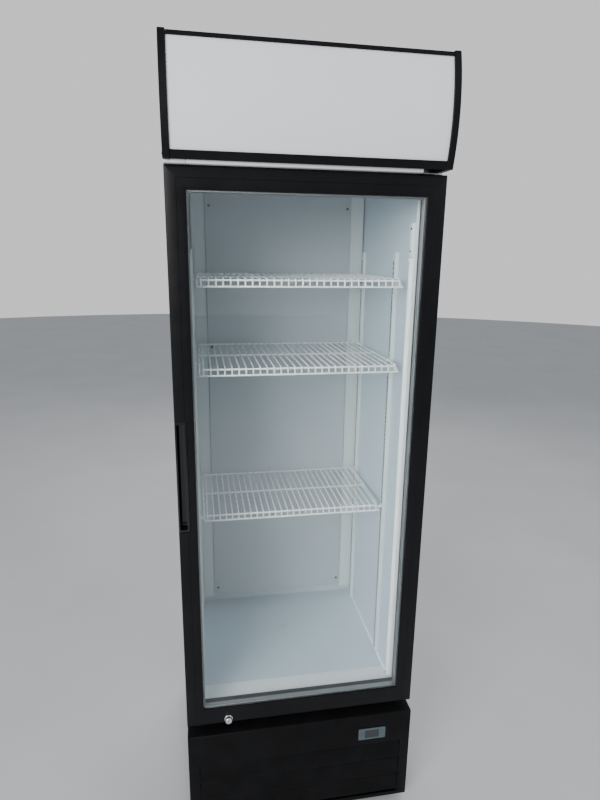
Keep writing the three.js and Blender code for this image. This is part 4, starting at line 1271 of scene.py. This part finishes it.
def condenser_block():
    x, y, z = span("condenser_coil")
    block = Piece("condenser_block", "condenser_coil", "copper")
    fins = 64
    for i in range(fins):
        place = x[0] + 0.004 + (x[1] - x[0] - 0.008) * i / (fins - 1)
        block.block((place - 0.0002, place + 0.0002), inset(y, 0.001), inset(z, 0.002))
    for end in ((x[0], x[0] + 0.0015), (x[1] - 0.0015, x[1])):
        block.block(end, y, z, 0.0005)
    rows = 8
    pitch = (z[1] - z[0] - 0.024) / (rows - 1)
    radius = 0.0042
    for column in (y[0] + 0.012, y[1] - 0.012):
        for row in range(rows):
            height = z[0] + 0.012 + row * pitch
            block.tube([(x[0] + 0.001, column, height), (x[1] - 0.001, column, height)], radius, 10)
            if row + 1 < rows:
                end = x[1] if row % 2 else x[0]
                outwards = 1 if row % 2 else -1
                arc = [math.pi * step / 8 for step in range(9)]
                bend = [
                    (end + outwards * 0.010 * math.sin(a), column, height + pitch / 2 * (1 - math.cos(a)))
                    for a in arc
                ]
                block.tube(bend, radius, 10)
    block.done("cabinet", "condenser_coil")


def condenser_fan():
    x, y, z = span("condenser_fan_blade")
    centre = Vector((middle(x), middle(y), middle(z)))
    reach = (x[1] - x[0]) / 2 - 0.002
    hub = 0.019
    blades = 5
    wheel = Piece("condenser_fan_wheel", "condenser_fan_blade")
    depth = 0.010
    wheel.lathe(
        [(0.0034, -depth), (hub - 0.003, -depth), (hub, -depth + 0.003), (hub, depth), (0.0034, depth)],
        centre, (0, 1, 0), 36, closed=True,
    )
    for blade in range(blades):
        start = 2 * math.pi * blade / blades
        rings = []
        for station in range(9):
            share = station / 8
            radius = hub - 0.002 + share * (reach - hub + 0.002)
            sweep = start + 0.30 * share * share
            pitch = math.radians(38 - 16 * share)
            chord = 0.017 + 0.010 * math.sin(math.pi * min(1, 0.25 + 0.6 * share))
            ring = []
            for u, v in rounded_rectangle((-chord, chord), (-0.0007, 0.0007), 0.0006, 2):
                camber = 0.0022 * (1 - (u / chord) ** 2)
                angle = sweep + u * math.cos(pitch) / radius
                along = u * math.sin(pitch) + v + camber
                ring.append(centre + Vector((radius * math.cos(angle), along, radius * math.sin(angle))))
            rings.append(ring)
        wheel.loft(rings)
    wheel.done("condenser_fan", "condenser_fan_blade", sharp=45)


def drier_and_pipe():
    pipe_top = span("filter_drier")[2][1]
    (start_x, _), condenser_y, condenser_z = span("condenser_coil")
    centre_x, centre_y = start_x - 0.024, condenser_y[1] + 0.110
    base = condenser_z[0]
    level = middle(condenser_z)
    line = [
        (start_x - 0.001, condenser_y[0] + 0.016, level),
        (start_x - 0.014, condenser_y[0] + 0.016, level),
        (centre_x, condenser_y[0] + 0.040, level - 0.040), (centre_x, centre_y - 0.020, base + 0.030),
        (centre_x, centre_y, base + 0.060), (centre_x, centre_y, pipe_top),
    ]
    drier = Piece("drier_and_pipe", "filter_drier")
    drier.tube(round_corners(line, 0.022, 6), 0.003, 12)
    low, high = base + 0.070, base + 0.174
    neck, barrel = 0.0034, 0.010
    profile = [
        (0, low), (neck, low), (neck + 0.0006, low + 0.004), (barrel - 0.002, low + 0.012),
        (barrel, low + 0.016), (barrel, high - 0.016), (barrel - 0.002, high - 0.012),
        (neck + 0.0006, high - 0.004), (neck, high), (0, high),
    ]
    drier.lathe(profile, (centre_x, centre_y, 0), sides=28)
    drier.done("cabinet", "filter_drier")


def evaporation_tray():
    x, y, z = span("drip_tray")
    tray = Piece("evaporation_tray", "drip_tray").block(x, y, z, 0.004, 3)
    basin = Piece("basin", "drip_tray").block(
        inset(x, 0.002), inset(y, 0.002), (z[0] + 0.002, z[1] + 0.03), 0.004, 3,
    )
    tray.carve(basin)
    tray.done("cabinet", "drip_tray")


def wiring_box():
    x, y, z = span("electrical_box")
    box = Piece("wiring_box", "electrical_box", "zinc_steel")
    seam = z[1] - 0.022
    box.block(x, y, (z[0], seam - 0.0006), 0.0025, 3)
    box.block(x, y, (seam + 0.0006, z[1]), 0.0025, 3)
    box.block(inset(x, 0.0015), inset(y, 0.0015), (seam - 0.002, seam + 0.002))
    for corner_x in inset(x, 0.010):
        for corner_y in inset(y, 0.010):
            box.screw((corner_x, corner_y, z[1]), (0, 0, 1), 0.0034, paint=1)
    box.done("cabinet", "electrical_box")


def gland():
    x, y, z = span("cable_gland")
    centre = (middle(x), 0, middle(z))
    made = Piece("gland", "cable_gland")
    bore, outer = 0.004, 0.010
    back, tip = y
    nut = outer + 0.004
    hexagon = [
        (bore, back), (outer + 0.003, back), (nut, back + 0.0008), (nut, back + 0.005),
        (outer + 0.003, back + 0.0057), (bore, back + 0.0057),
    ]
    made.lathe(hexagon, centre, (0, 1, 0), 6, closed=True)
    dome = [
        (bore, back + 0.005), (outer, back + 0.005), (outer, tip - 0.012),
        (outer - 0.0008, tip - 0.011), (outer - 0.001, tip - 0.005), (outer - 0.003, tip - 0.001),
        (outer - 0.0045, tip), (bore, tip - 0.001),
    ]
    made.lathe(dome, centre, (0, 1, 0), 32, closed=True)
    made.done("cabinet", "cable_gland")


def sheet_screws():
    """Screws that hold the rear panel, the rear grille and the sign box's housing."""
    x, y, z = span("rear_panel")
    screws = Piece("rear_screws", "zinc_steel")
    rows = 6
    for i in range(rows):
        height = z[0] + 0.03 + (z[1] - z[0] - 0.06) * i / (rows - 1)
        for place in inset(x, 0.010):
            screws.screw((place, y[1], height), (0, 1, 0), 0.004)
    grille_x, grille_y, grille_z = span("rear_grille")
    for place in inset(grille_x, 0.014):
        for height in inset(grille_z, 0.014):
            screws.screw((place, grille_y[1], height), (0, 1, 0), 0.004)
    housing_x, housing_y, housing_z = span("canopy_housing")
    for i in range(4):
        place = housing_x[0] + (0.06 + 0.88 * i / 3) * (housing_x[1] - housing_x[0])
        screws.screw((place, housing_y[1], housing_z[1] - 0.012), (0, 1, 0), 0.0036)
    screws.done("cabinet")


# ---- CAD nodes that stay ----
def soften(node, width):
    """A carried-over CAD node gets its slot's finish and small round edges."""
    made = frame["nodes"][node]
    made.data.materials.clear()
    made.data.materials.append(look(node))
    bevel = made.modifiers.new("edges", "BEVEL")
    bevel.width = width
    bevel.segments = 2
    bevel.limit_method = "ANGLE"
    bevel.angle_limit = math.radians(40)
    bevel.harden_normals = False


CARRIED = {
    "left_side_panel": 0.0004, "right_side_panel": 0.0004, "top_panel": 0.0003, "deck_panel": 0.0003,
    "rear_panel": 0.0003, "foam_insulation": 0.0004, "left_corner_strip": 0.0005,
    "right_corner_strip": 0.0005, "evaporator_coil": 0.0008, "base_pan": 0.0005,
    "condenser_fan_frame": 0.0005, "rear_grille": 0.0004, "canopy_housing": 0.0005,
    "top_hinge_bush": 0.0005, "bottom_hinge_bush": 0.0005, "outer_glass": 0.0004, "inner_glass": 0.0004,
}

make_camera()
make_studio()
make_floor()

for carried, edge_width in CARRIED.items():
    soften(carried, edge_width)

door_frame()
handle_cup()
door_lock()
glazing_spacer()
door_seal()

inside_room = liner_shell()
floor_sill(inside_room)
floor_coves(inside_room)
duct_cover()
for side_word, side_sign in SIDES.items():
    for pilaster_end in ("front", "rear"):
        pilaster(side_word, side_sign, pilaster_end)
shelf_clips()
for shelf_level in ("bottom", "middle", "top"):
    wire_shelf(shelf_level)
light_strip()
floor_drain()

base_cover()
controller()
levelling_feet()

canopy_bow, canopy_heights = canopy_frame()
end_caps(canopy_bow, canopy_heights)
sign_rails(canopy_bow)
sign_face(canopy_bow)
header_strip(canopy_bow)
sign_lamp()

for hinge_end in ("top", "bottom"):
    hinge_bracket(hinge_end)

compressor_set()
condenser_block()
condenser_fan()
drier_and_pipe()
evaporation_tray()
wiring_box()
gland()
sheet_screws()
